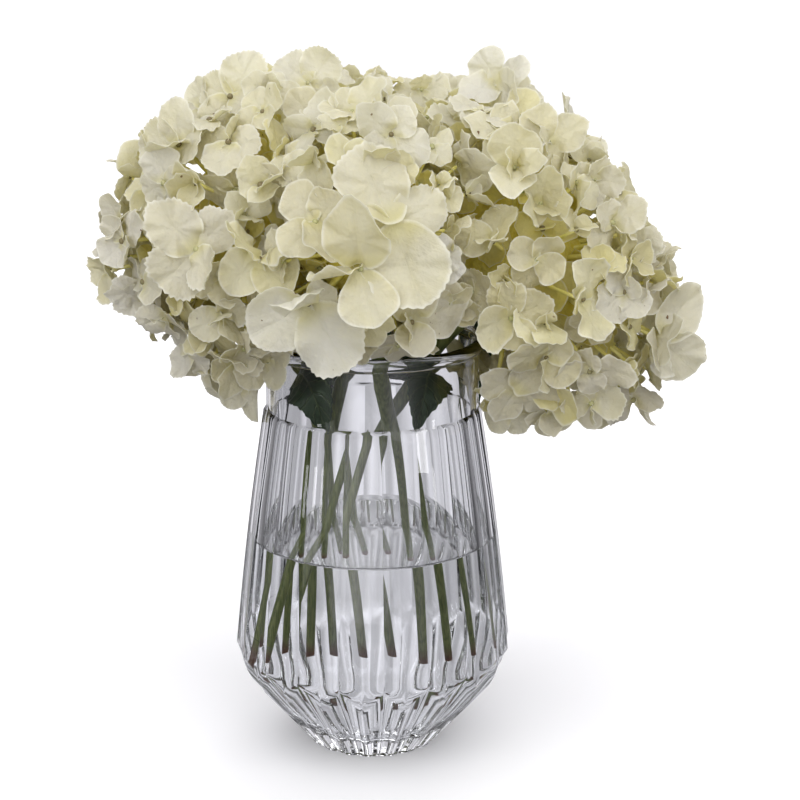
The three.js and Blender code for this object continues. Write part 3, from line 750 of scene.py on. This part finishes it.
def sepal_outline(spokes, rings, draw, toothed):
    """A sepal's flat outline as spokes round its middle: forward, aside and ring share of each point."""
    turns = np.linspace(0, 2 * math.pi, spokes, endpoint=False)
    reach_forward = (1 - SEPAL_MIDDLE) * np.cos(turns)
    reach_aside = 0.5 * np.sin(turns) * (1 + draw(-0.05, 0.25) * np.cos(turns))
    from_tip = np.angle(np.exp(1j * turns))
    reach_forward = reach_forward + draw(-0.04, 0.12) * np.exp(-(from_tip / 0.3) ** 2)
    wave = draw(0.01, 0.05) * np.sin(3 * turns + draw(0, 6.3))
    wave = wave + draw(0, 0.03) * np.sin(5 * turns + draw(0, 6.3))
    saw = np.where(np.arange(spokes) % 2 == 0, 1, -1) * np.array([draw(0.4, 1.4) for _ in turns])
    teeth = toothed * saw * np.clip(0.6 + np.cos(turns), 0, 1)
    shares = 1 - (1 - np.arange(1, rings + 1) / rings) ** 1.35
    stretch = shares[:, None] * (1 + (wave + teeth) * shares[:, None] ** 3)
    forward = SEPAL_MIDDLE + reach_forward * stretch
    aside = reach_aside * stretch
    ring = np.repeat(shares, spokes)
    return np.append(SEPAL_MIDDLE, forward.ravel()), np.append(0.0, aside.ravel()), np.append(0.0, ring)


def disc_faces(spokes, rings):
    """Faces of a middle point and the rings of points round it."""
    fan = [(0, 1 + i, 1 + (i + 1) % spokes) for i in range(spokes)]
    return fan + list(grid_faces(rings, spokes, start=1))


def disc_normals(points, spokes, rings):
    """Unit normals of a disc of rings, from the runs along and across its rings."""
    rounds = points[1:].reshape(rings, spokes, 3)
    along = np.roll(rounds, -1, axis=1) - np.roll(rounds, 1, axis=1)
    outward = np.diff(np.concatenate([np.broadcast_to(points[0], (1, spokes, 3)), rounds]), axis=0)
    outward[:-1] += outward[1:]
    normals = np.cross(outward, along).reshape(-1, 3)
    normals /= np.linalg.norm(normals, axis=1)[:, None]
    return np.vstack([unit(normals[:spokes].sum(axis=0)), normals])


def sepal_lift(forward, aside, ring, floret, index, draw):
    """How far a sepal's points stand off its plane, as a share of its length, and the plane's tilt."""
    tilt = floret["cup"] * draw(0.4, 1.2) + floret["fold"][index]
    bow = draw(-0.8, 0.3) + floret["cup"] * 0.4
    trough = draw(-0.4, 0.5)
    side_angle = np.arctan2(aside, forward - SEPAL_MIDDLE)
    curled_side = np.clip(0.4 + np.cos(side_angle - draw(-2.6, 2.6)), 0, 1.4)
    run = forward * draw(3, 7) + aside * draw(-6, 6) + draw(0, 6.3)
    lift = 0.5 * bow * forward ** 2
    lift = lift + trough * (2 * aside) ** 2 * 0.24
    lift = lift + draw(-0.11, 0.15) * ring ** 4 * curled_side
    for low, high, fading, count in RIPPLES:
        lift = lift + draw(low, high) * ring ** fading * np.sin(count * side_angle + draw(0, 6.3))
    lift = lift + draw(0.015, 0.05) * np.sin(run)
    lift = lift - 0.03 * np.exp(-(aside / 0.05) ** 2) * np.sin(math.pi * np.clip(forward, 0, 1))
    lift = lift + draw(-0.3, 0.3) * aside * forward
    return lift, tilt


def sepal(build, floret, index, draw, grid):
    """One sepal: a thin closed blade, cupped, waved and curled at its margin."""
    share = floret["share"][index]
    length = floret["sepal"] * share * draw(0.84, 1.0)
    width = floret["sepal"] * share ** 0.7 * SEPAL_WIDTH * draw(0.76, 1.0) * floret["wide"][index]
    forward, aside, ring = sepal_outline(**grid, draw=draw, toothed=floret["toothed"] * draw(0.5, 1.3))
    lift, tilt = sepal_lift(forward, aside, ring, floret, index, draw)
    heading = floret["roll"] + index * math.pi / 2 + draw(-0.14, 0.14)
    out = floret["side"] * math.cos(heading) + floret["up"] * math.sin(heading)
    beside = np.cross(floret["face"], out)
    rising = out * math.cos(tilt) + floret["face"] * math.sin(tilt)
    flat = np.cross(rising, beside)
    twist = floret["twist"][index]
    facing = flat * math.cos(twist) + beside * math.sin(twist)
    beside = beside * math.cos(twist) - flat * math.sin(twist)
    start = floret["bead"] + floret["face"] * PAIR_LIFT * (index % 2)
    middle = (start + np.outer(forward * length, rising) + np.outer(aside * width, beside)
              + np.outer(lift * length, facing))
    middle = outside_vase(middle, floret["bead"])
    half = SEPAL_THICKNESS / 2 * np.where(ring > 0.99, 0.6, 1.0)[:, None]
    rim = list(range(len(middle) - grid["spokes"], len(middle)))
    blade(build, middle, disc_normals(middle, **grid), half, disc_faces(**grid), rim, age=floret["age"],
          tint=floret["tint"] + draw(-0.2, 0.2), cool=floret["cool"], along=forward, across=aside, rim=ring,
          stain=floret["stain"])


def bead(build, floret, draw):
    """The closed bud in a floret's middle, a small ball with four seams."""
    rows = 5
    columns = 12
    ball = []
    for polar in np.linspace(math.pi, 0, rows + 2)[1:-1]:
        for turn in np.linspace(0, 2 * math.pi, columns, endpoint=False):
            flat = math.sin(polar) * (1 - 0.1 * math.cos(2 * turn) ** 2)
            ball.append((flat * math.cos(turn), flat * math.sin(turn), 0.9 * (math.cos(polar) + 0.75)))
    ball += [(0, 0, -0.22), (0, 0, 1.53)]
    radius = BEAD_RADIUS * draw(0.8, 1.15)
    axes = np.array([floret["side"], floret["up"], floret["face"]])
    build.add(floret["bead"] + np.array(ball) @ axes * radius, closed_faces(rows, columns),
              age=floret["age"], stain=floret["stain"])


def folds_of(draw):
    """How far each of a floret's sepals stands up: most lie open, some make a cup, a few fold over."""
    kind = draw()
    if kind < OPEN_SHARE:
        return [draw(-0.35, 0.2) for _ in range(SEPALS)]
    if kind < OPEN_SHARE + CUPPED_SHARE:
        depth = draw(0.15, 0.5)
        return [depth + draw(-0.25, 0.25) for _ in range(SEPALS)]
    folded = int(draw(0, SEPALS))
    beside = (folded + 1) % SEPALS if draw() < 0.4 else folded
    return [draw(0.9, 1.45) if i in (folded, beside) else draw(-0.4, 0.35) for i in range(SEPALS)]


def dress(florets, name, age_and_shade_range):
    """Gives each floret its axes, its youth, which also paints shade deeper in a head, a painted grey shade
    for faces turned down, how its sepals stand and what their margins and stains are.
    """
    draw = seeded(len(name) * 331 + len(florets))
    centre, beads, _ = HEADS[name].values()
    for floret in florets:
        floret["side"] = unit(np.cross((0, 0, 1), floret["face"]))
        floret["up"] = np.cross(floret["face"], floret["side"])
        across, _, up = (floret["bead"] - centre) / beads
        middle = max(0, 1 - math.hypot(across, up))
        # Younger layers lie deeper, so their yellower colour is partly painted shade of the head's depths
        floret["age"] = draw(*age_and_shade_range) + MIDDLE_AGE * middle * (name != "front")
        # Painted shade: a floret whose face turns down is greyed, with some random spread of grey tone
        floret["cool"] = min(1, max(0, 0.5 - floret["face"][2] + draw(-0.35, 0.35)))
        folds = folds_of(draw)
        twists = [draw(0.8, 1.3) if draw() < TWISTED_SHARE else draw(-0.35, 0.35) for _ in range(SEPALS)]
        shares = [draw(0.7, 1.14) * (FOLDED_LENGTH if fold > 0.8 else 1) for fold in folds]
        toothed = draw(0.02, 0.045) if draw() < TOOTHED_SHARE else 0.006
        own = {"fold": folds, "twist": twists, "share": shares, "wide": (1,) * SEPALS, "toothed": toothed}
        floret.update({**own, **floret["shaped"], "tint": draw(), "stain": draw()})
    return florets


def outside_vase(points, bead):
    """Presses what would cut into the vase out to its neck, or up onto its lip."""
    out = np.hypot(points[:, 0], points[:, 1])
    low = points[:, 2] < ABOVE_LIP
    if math.hypot(bead[0], bead[1]) > LIP_RADIUS:
        push = np.where(low & (out < BESIDE_LIP), BESIDE_LIP / np.maximum(out, 1), 1)
        points[:, :2] *= push[:, None]
    else:
        points[low, 2] = part_way(ABOVE_LIP, points[low, 2], PRESSED)
    return points


def core_of(name, material):
    """The shaded middle of a head, where its stalks meet, with a lumpy surface."""
    rows = 23
    columns = 40
    directions = []
    for row in range(rows, 0, -1):
        polar = math.pi * row / (rows + 1)
        flat = math.sin(polar)
        for turn in np.linspace(0, 2 * math.pi, columns, endpoint=False):
            lump = 1 + 0.05 * math.sin(5 * turn + row) * flat + 0.04 * math.cos(9 * polar + 2 * turn)
            direction = np.array([flat * math.cos(turn), flat * math.sin(turn), math.cos(polar)])
            directions.append(direction * lump)
    directions += [(0, 0, -1), (0, 0, 1)]
    centre, beads, lean = HEADS[name].values()
    points = [centre + leaned(beads * CORE_SHARE * direction, lean) for direction in directions]
    build = Build()
    build.add(points, closed_faces(rows, columns))
    return build.piece("core_" + name, material)


def stalk(build, floret, centre):
    """A floret's stalk, from its bead back to the middle of the head."""
    count = 9
    root = centre + (floret["bead"] - centre) * CORE_SHARE * 0.5
    bend = (root + floret["bead"] - floret["face"] * floret["sepal"] * 0.6) / 2
    path = smooth_path([root, bend, floret["bead"] - floret["face"] * 0.4], count)
    tube(build, path, np.linspace(BRANCH_RADIUS, PEDICEL_RADIUS, count), 6, age=floret["age"])


def head(name, petal, bud, stalk_skin, shade):
    """A head's pieces: the sepals of each layer, buds, stalks and the shaded middle that they grow from."""
    front = front_florets(name)
    outer = layered(front + drawn_florets(name, LAYERS["outer"], front))
    between = drawn_florets(name, LAYERS["between"], outer)
    young_and_deep = drawn_florets(name, LAYERS["young_and_deep"], outer + between)
    draw = seeded(len(name) * 149 + 7)
    pieces = []
    buds = Build()
    stalks = Build()
    for rule, florets in zip(LAYERS.values(), (outer, between, young_and_deep)):
        sepals = Build()
        for floret in dress(florets, name, rule["age"]):
            for index in range(SEPALS):
                sepal(sepals, floret, index, draw, SHAPED_GRID if floret["shaped"] else rule["grid"])
            bead(buds, floret, draw)
            stalk(stalks, floret, HEADS[name]["centre"])
        pieces.append(sepals.piece(rule["prefix"] + name, petal, 60 * DEGREES))
    pieces.append(buds.piece("buds_" + name, bud))
    pieces.append(stalks.piece("stalks_" + name, stalk_skin))
    pieces.append(core_of(name, shade))
    return pieces


# Leaves

def leaf_base(leaf):
    """The point where a leaf's petiole meets the side of its stem."""
    path = smooth_path(STEMS[leaf["stem"]], 400)
    place = int(np.argmax(path[:, 2] >= leaf["height"]))
    along = unit(path[place + 1] - path[place - 1])
    out = np.array(leaf["midrib"][0], float) - path[place]
    out = unit(out - along * (out @ along))
    return path[place] + out * (STEM_RADIUS + LEAF_SEAT)


def leaf_half_width(share, width):
    """Half width of a leaf at a share of its length, with a petiole, a pointed tip and slanted teeth."""
    if share <= PETIOLE_SHARE:
        return PETIOLE_HALF_WIDTH
    along = (share - PETIOLE_SHARE) / (1 - PETIOLE_SHARE)
    oval = math.sin(math.pi * along ** 0.8) * (1 - 0.15 * along)
    saw = (along * LEAF_TEETH) % 1
    return max(PETIOLE_HALF_WIDTH * (1 - along) + 0.1, width / 2 * oval * (1 + TOOTH * (saw - 0.5)))


def grid_normals(points, columns):
    """Unit normals of an open grid of points, from the runs along its rows and columns."""
    rows = points.reshape(-1, columns, 3)
    normals = np.cross(np.gradient(rows, axis=1), np.gradient(rows, axis=0)).reshape(-1, 3)
    return normals / np.linalg.norm(normals, axis=1)[:, None]


def leaf(name, material):
    """One leaf: a blade folded along its midrib, with raised side veins and a waved margin."""
    shape = LEAVES[name]
    path = smooth_path([leaf_base(shape), *shape["midrib"]], LEAF_STEPS)
    asides = np.linspace(-1, 1, 2 * LEAF_HALF_COLUMNS + 1)
    shares = np.linspace(0, 1, LEAF_STEPS)
    points = []
    for middle, tangent, share in zip(path, np.gradient(path, axis=0), shares):
        across = unit(np.cross(tangent, shape["face"]))
        normal = unit(np.cross(across, tangent))
        half = leaf_half_width(share, shape["width"])
        on_blade = min(1, max(0, (share - PETIOLE_SHARE) * 8))
        for aside in asides:
            off = abs(aside)
            run = share * LEAF_VEINS["count"] - off * LEAF_VEINS["slant"]
            vein = 0.22 * math.cos(2 * math.pi * run) * off ** 0.5 * on_blade
            wave = 0.5 * math.sin(7 * share + 3 * aside) * off ** 2 * min(1, half / 6)
            points.append(middle + across * aside * half + normal * (off * half * LEAF_FOLD + vein + wave))
    points = np.array(points)
    columns = len(asides)
    count = len(points)
    edge = [*range(columns), *range(2 * columns - 1, count, columns),
            *range(count - 2, count - columns - 1, -1), *range(count - 2 * columns, 0, -columns)]
    build = Build()
    blade(build, points, grid_normals(points, columns), LEAF_THICKNESS / 2,
          list(grid_faces(LEAF_STEPS, columns, closed=False)), edge,
          across=np.tile(asides, LEAF_STEPS), along=np.repeat(shares, columns))
    return build.piece("leaf_" + name + "_green", material, 50 * DEGREES)


# Materials

class Nodes:
    """Short calls for the nodes of a material or of the world. A value is a socket or a constant."""

    def __init__(self, tree):
        self.nodes = tree.nodes
        self.links = tree.links

    def put(self, socket, value):
        if isinstance(value, bpy.types.NodeSocket):
            self.links.new(value, socket)
        elif isinstance(value, tuple) and len(value) == 3 and socket.type == "RGBA":
            socket.default_value = (*value, 1)
        else:
            socket.default_value = value

    def new(self, kind, inputs, output=0, **settings):
        """An output of a new node, whose inputs go by name or number."""
        node = self.nodes.new("ShaderNode" + kind)
        for key, value in settings.items():
            setattr(node, key, value)
        for key, value in inputs.items():
            self.put(node.inputs[key], value)
        return node.outputs[output]

    def math(self, operation, *values):
        return self.new("Math", dict(enumerate(values)), operation=operation)

    def times(self, first, second):
        return self.math("MULTIPLY", first, second)

    def plus(self, first, second):
        return self.math("ADD", first, second)

    def fade(self, value, low, high, start=0.0, end=1.0, kind="SMOOTHSTEP"):
        """Runs from start to end as a value goes from low to high."""
        inputs = dict(enumerate((value, low, high, start, end)))
        return self.new("MapRange", inputs, interpolation_type=kind)

    def mix(self, factor, first, second):
        return self.new("Mix", {0: factor, 6: first, 7: second}, 2, data_type="RGBA")

    def noise(self, scale, detail=3.0, vector=None):
        vector = vector or self.new("TexCoord", {}, "Object")
        return self.new("TexNoise", {"Vector": vector, "Scale": scale, "Detail": detail}, "Fac")

    def stretched(self, output, scale):
        """Texture coordinates of the world or of an object, scaled along each axis."""
        return self.new("Mapping", {"Vector": self.new("TexCoord", {}, output), "Scale": scale})


class Shader(Nodes):
    """A new material, with settings for its surface."""

    def __init__(self, name, **settings):
        self.material = bpy.data.materials.new(name)
        self.material.use_nodes = True
        super().__init__(self.material.node_tree)
        self.surface = self.nodes["Principled BSDF"]
        for key, value in settings.items():
            self.put(self.surface.inputs[key.replace("_", " ")], value)

    def value(self, name):
        """The mesh's own value of that name."""
        return self.new("Attribute", {}, "Fac", attribute_name=name)

    def paint(self, colour):
        self.put(self.surface.inputs["Base Color"], colour)

    def bump(self, height, strength, distance):
        normal = self.new("Bump", {"Strength": strength, "Distance": distance, "Height": height})
        self.put(self.surface.inputs["Normal"], normal)
        return normal

    def blend(self, share, other):
        both = self.new("MixShader", {0: share, 1: self.surface.outputs[0], 2: other})
        self.put(self.nodes["Material Output"].inputs["Surface"], both)

    def see_through(self, colour, share, normal):
        """Lets a share of the light pass through the blade, spread by it."""
        self.blend(share, self.new("BsdfTranslucent", {"Color": colour, "Normal": normal}))

    def clear_to_lamps(self, colour):
        """Lets the lamps' light straight through the glass, so that what stands in it is lit."""
        lamp_light = self.new("LightPath", {}, "Is Shadow Ray")
        self.blend(lamp_light, self.new("BsdfTransparent", {"Color": colour}))


def veins(shader, along, across, count, slant):
    """Fine side veins that leave the midrib at a slant, 1 on a vein and 0 between."""
    aside = shader.math("ABSOLUTE", across)
    run = shader.math("SUBTRACT", shader.times(along, count), shader.times(aside, slant))
    wander = shader.times(shader.noise(260.0, 2.0), 0.35)
    return shader.fade(shader.math("PINGPONG", shader.plus(run, wander), 0.5), 0.0, 0.09, 1.0, 0.0)


def fan_veins(shader, along, across):
    """Fine veins that spread from a sepal's foot to its margin."""
    turn = shader.math("ARCTAN2", across, shader.plus(along, 0.06))
    wander = shader.times(shader.noise(200.0, 2.0), 0.5)
    wave = shader.math("PINGPONG", shader.plus(shader.times(turn, 5.5), wander), 0.5)
    return shader.fade(wave, 0.0, 0.1, 1.0, 0.0)


def petal_material():
    """Cream sepals: greener when younger and towards the middle, with veins and brown freckles. The yellow
    of younger, deeper florets is partly painted shade, faces turned down get a painted grey shade, and each
    rim a painted highlight.
    """
    shader = Shader("sepal_cream", Roughness=0.55, Specular_IOR_Level=0.35)
    along = shader.value("along")
    across = shader.value("across")
    cream = shader.mix(shader.value("tint"), (0.88, 0.88, 0.905), (0.85, 0.835, 0.765))
    # Painted shade: florets turned downwards are mixed towards a darker grey
    cream = shader.mix(shader.value("cool"), cream, (0.76, 0.74, 0.75))
    cloud = shader.fade(shader.noise(95.0, 4.0), 0.35, 0.7)
    cream = shader.mix(shader.times(cloud, 0.1), cream, (0.86, 0.83, 0.62))
    # The yellow of younger florets: partly their own colour, partly painted shade, since the younger layers
    # lie deep in a head
    young_and_deep = shader.mix(cloud, (0.89, 0.84, 0.42), (0.86, 0.79, 0.24))
    colour = shader.mix(shader.value("age"), cream, young_and_deep)
    heart = shader.fade(along, 0.02, 0.36, 0.5, 0.0)
    colour = shader.mix(heart, colour, (0.80, 0.76, 0.34))
    side = veins(shader, along, across, 9.0, 9.0)
    fan = fan_veins(shader, along, across)
    midrib = shader.fade(shader.math("ABSOLUTE", across), 0.0, 0.018, 1.0, 0.0)
    net = shader.math("MAXIMUM", shader.times(shader.math("MAXIMUM", side, fan), 0.6), midrib)
    colour = shader.mix(shader.times(net, 0.1), colour, (0.72, 0.69, 0.42))
    # Painted highlight: the margin of each sepal is lightened to near white
    rim = shader.fade(shader.value("rim"), 0.88, 1.0, 0.0, 0.8)
    colour = shader.mix(rim, colour, (0.97, 0.965, 0.94))
    freckle = shader.fade(shader.noise(420.0, 1.0), 0.77, 0.80)
    worn = shader.fade(shader.value("stain"), 0.55, 0.8)
    colour = shader.mix(shader.times(freckle, worn), colour, (0.16, 0.06, 0.025))
    shader.paint(colour)
    crinkle = shader.plus(shader.noise(700.0), shader.times(shader.noise(240.0, 2.0), 1.6))
    normal = shader.bump(shader.plus(shader.times(net, -0.15), crinkle), 0.7, 0.0006)
    shader.see_through(shader.mix(0.5, colour, (0.97, 0.93, 0.56)), 0.5, normal)
    return shader.material


def bud_material():
    shader = Shader("bud_pale_green", Roughness=0.5)
    # Buds of younger, deeper florets are greener: partly their own colour, partly painted shade
    colour = shader.mix(shader.value("age"), (0.50, 0.47, 0.26), (0.42, 0.48, 0.14))
    brown = shader.fade(shader.value("stain"), 0.45, 0.75)
    colour = shader.mix(brown, colour, (0.19, 0.15, 0.07))
    grain = shader.fade(shader.noise(900.0), 0.4, 0.7, 0.0, 0.5)
    shader.paint(shader.mix(grain, colour, (0.24, 0.24, 0.09)))
    return shader.material


def stalk_material():
    shader = Shader("stalk_yellow_green", Roughness=0.5)
    cloud = shader.fade(shader.noise(160.0), 0.3, 0.7)
    shader.paint(shader.mix(cloud, (0.82, 0.76, 0.20), (0.90, 0.84, 0.34)))
    shader.bump(shader.noise(900.0), 0.3, 0.0003)
    return shader.material


def core_material():
    shader = Shader("core_olive", Roughness=0.8)
    cloud = shader.fade(shader.noise(180.0, 5.0), 0.35, 0.65)
    shader.paint(shader.mix(cloud, (0.84, 0.72, 0.12), (0.90, 0.81, 0.24)))
    shader.bump(shader.noise(260.0, 5.0), 0.8, 0.003)
    return shader.material


def stem_material():
    shader = Shader("stem_green", Roughness=0.45)
    fibres = shader.noise(900.0, 3.0, shader.stretched("Object", (1, 1, 0.12)))
    colour = shader.mix(shader.fade(fibres, 0.35, 0.65), (0.19, 0.25, 0.06), (0.36, 0.42, 0.13))
    cut = shader.fade(shader.value("along"), 0.01, 0.08, 0.9, 0.0)
    shader.paint(shader.mix(cut, colour, (0.20, 0.07, 0.04)))
    shader.bump(fibres, 0.4, 0.0004)
    return shader.material


def leaf_material():
    shader = Shader("leaf_dark_green", Roughness=0.42, Specular_IOR_Level=0.35)
    across = shader.value("across")
    side = veins(shader, shader.value("along"), across, **LEAF_VEINS)
    midrib = shader.fade(shader.math("ABSOLUTE", across), 0.0, 0.09, 1.0, 0.0)
    net = shader.math("MAXIMUM", side, midrib)
    colour = shader.mix(shader.noise(130.0, 4.0), (0.014, 0.045, 0.010), (0.038, 0.090, 0.022))
    colour = shader.mix(shader.times(net, 0.6), colour, (0.16, 0.22, 0.08))
    shader.paint(colour)
    normal = shader.bump(shader.plus(shader.times(net, -1.0), shader.noise(500.0)), 0.5, 0.0005)
    shader.see_through(shader.mix(0.5, colour, (0.06, 0.12, 0.02)), 0.12, normal)
    return shader.material


def clear_material(name, ior, colour):
    shader = Shader(name, Roughness=0.0, IOR=ior, Transmission_Weight=1.0)
    shader.paint(colour)
    shader.clear_to_lamps(GLASS_SHADE)
    return shader.material


# Floor, light and camera

def floor():
    """A white floor for the eye alone. All else sees the dimmer surroundings, as in a cut-out photograph."""
    mesh = bpy.data.meshes.new("floor")
    corners = np.array([(-1, -1, 0), (1, -1, 0), (1, 1, 0), (-1, 1, 0)]) * FLOOR_REACH
    mesh.from_pydata(corners.tolist(), [], [(0, 1, 2, 3)])
    shader = Shader("floor_white", Roughness=1.0, Specular_IOR_Level=0.0)
    shader.paint((0.98, 0.98, 0.98))
    mesh.materials.append(shader.material)
    piece = in_scene("floor", mesh)
    piece.visible_diffuse = False
    piece.visible_glossy = False
    piece.visible_transmission = False


def world():
    """Dim surroundings below and a broad soft light overhead, with soft lighter and darker patches."""
    sky = bpy.data.worlds.new("studio")
    bpy.context.scene.world = sky
    sky.use_nodes = True
    tree = Nodes(sky.node_tree)
    direction = tree.new("TexCoord", {}, "Generated")
    height = tree.fade(tree.new("SeparateXYZ", {0: direction}, "Z"), -1, 1, kind="LINEAR")
    shade = tree.new("ValToRGB", {0: height})
    stops = shade.node.color_ramp.elements
    for position, _ in SURROUNDINGS[1:-1]:
        stops.new(position)
    for stop, (_, grey) in zip(stops, SURROUNDINGS):
        stop.color = (grey, grey * 0.99, grey * 1.05, 1)
    noise = tree.noise(3.2, 0.5, tree.stretched("Generated", (1, 1, 0.3)))
    patches = tree.fade(noise, 0.36, 0.64, 0.6, 1.35, kind="LINEAR")
    aside = tree.math("ABSOLUTE", tree.new("SeparateXYZ", {0: direction}, "X"))
    sides = tree.fade(aside, 0.35, 0.85, 1, SIDES_LEFT)
    background = tree.nodes["Background"]
    tree.put(background.inputs["Color"], shade)
    tree.put(background.inputs["Strength"], tree.times(sides, patches))


def looking(direction):
    """The turn that points a lamp or a camera along a direction."""
    return direction.to_track_quat("-Z", "Y").to_euler()


def lights():
    sun = bpy.data.lights.new("overhead", "SUN")
    sun.energy = SUN["strength"]
    sun.angle = SUN["spread"]
    in_scene("overhead", sun, turn=SUN["turn"])
    for name, box in SOFT_LAMPS.items():
        lamp = bpy.data.lights.new(name, "AREA")
        lamp.shape = "RECTANGLE"
        lamp.size, lamp.size_y = box["size"]
        lamp.energy = box["power"]
        in_scene(name, lamp, box["place"], looking(Vector(box["target"]) - Vector(box["place"])))


def camera():
    lens = bpy.data.cameras.new("view")
    lens.sensor_width = SENSOR_WIDTH
    lens.lens = FOCAL_PIXELS / IMAGE_PIXELS * SENSOR_WIDTH
    lens.clip_start = 0.01
    flat = math.cos(CAMERA_PITCH)
    ahead = Vector((flat * math.sin(CAMERA_YAW), flat * math.cos(CAMERA_YAW), -math.sin(CAMERA_PITCH)))
    bpy.context.scene.camera = in_scene("view", lens, Vector(CAMERA_PLACE) * MM, looking(ahead))


# The arrangement

def settle(piece, node):
    """Puts a finished piece in the place of its solid."""
    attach(piece, "root")
    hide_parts(node)


camera()
world()
lights()
floor()

settle(vase(clear_material("vase_glass", 1.5, (0.93, 0.935, 0.945))), "vase")
settle(water(clear_material("water", 1.333, (0.985, 0.99, 0.99))), "water")

green = stem_material()
for name in STEMS:
    settle(stem(name, green), "stem_" + name)

dark_green = leaf_material()
for name in LEAVES:
    settle(leaf(name, dark_green), "leaf_" + name)

cream = petal_material()
bud_green = bud_material()
yellow_green = stalk_material()
olive = core_material()
for name in HEADS:
    for piece in head(name, cream, bud_green, yellow_green, olive):
        settle(piece, "head_" + name)

# A ray crosses many surfaces of glass and water on its way
scene = bpy.context.scene
scene.view_settings.view_transform = "Standard"
scene.cycles.transmission_bounces = 16
scene.cycles.max_bounces = 20
scene.cycles.caustics_refractive = False
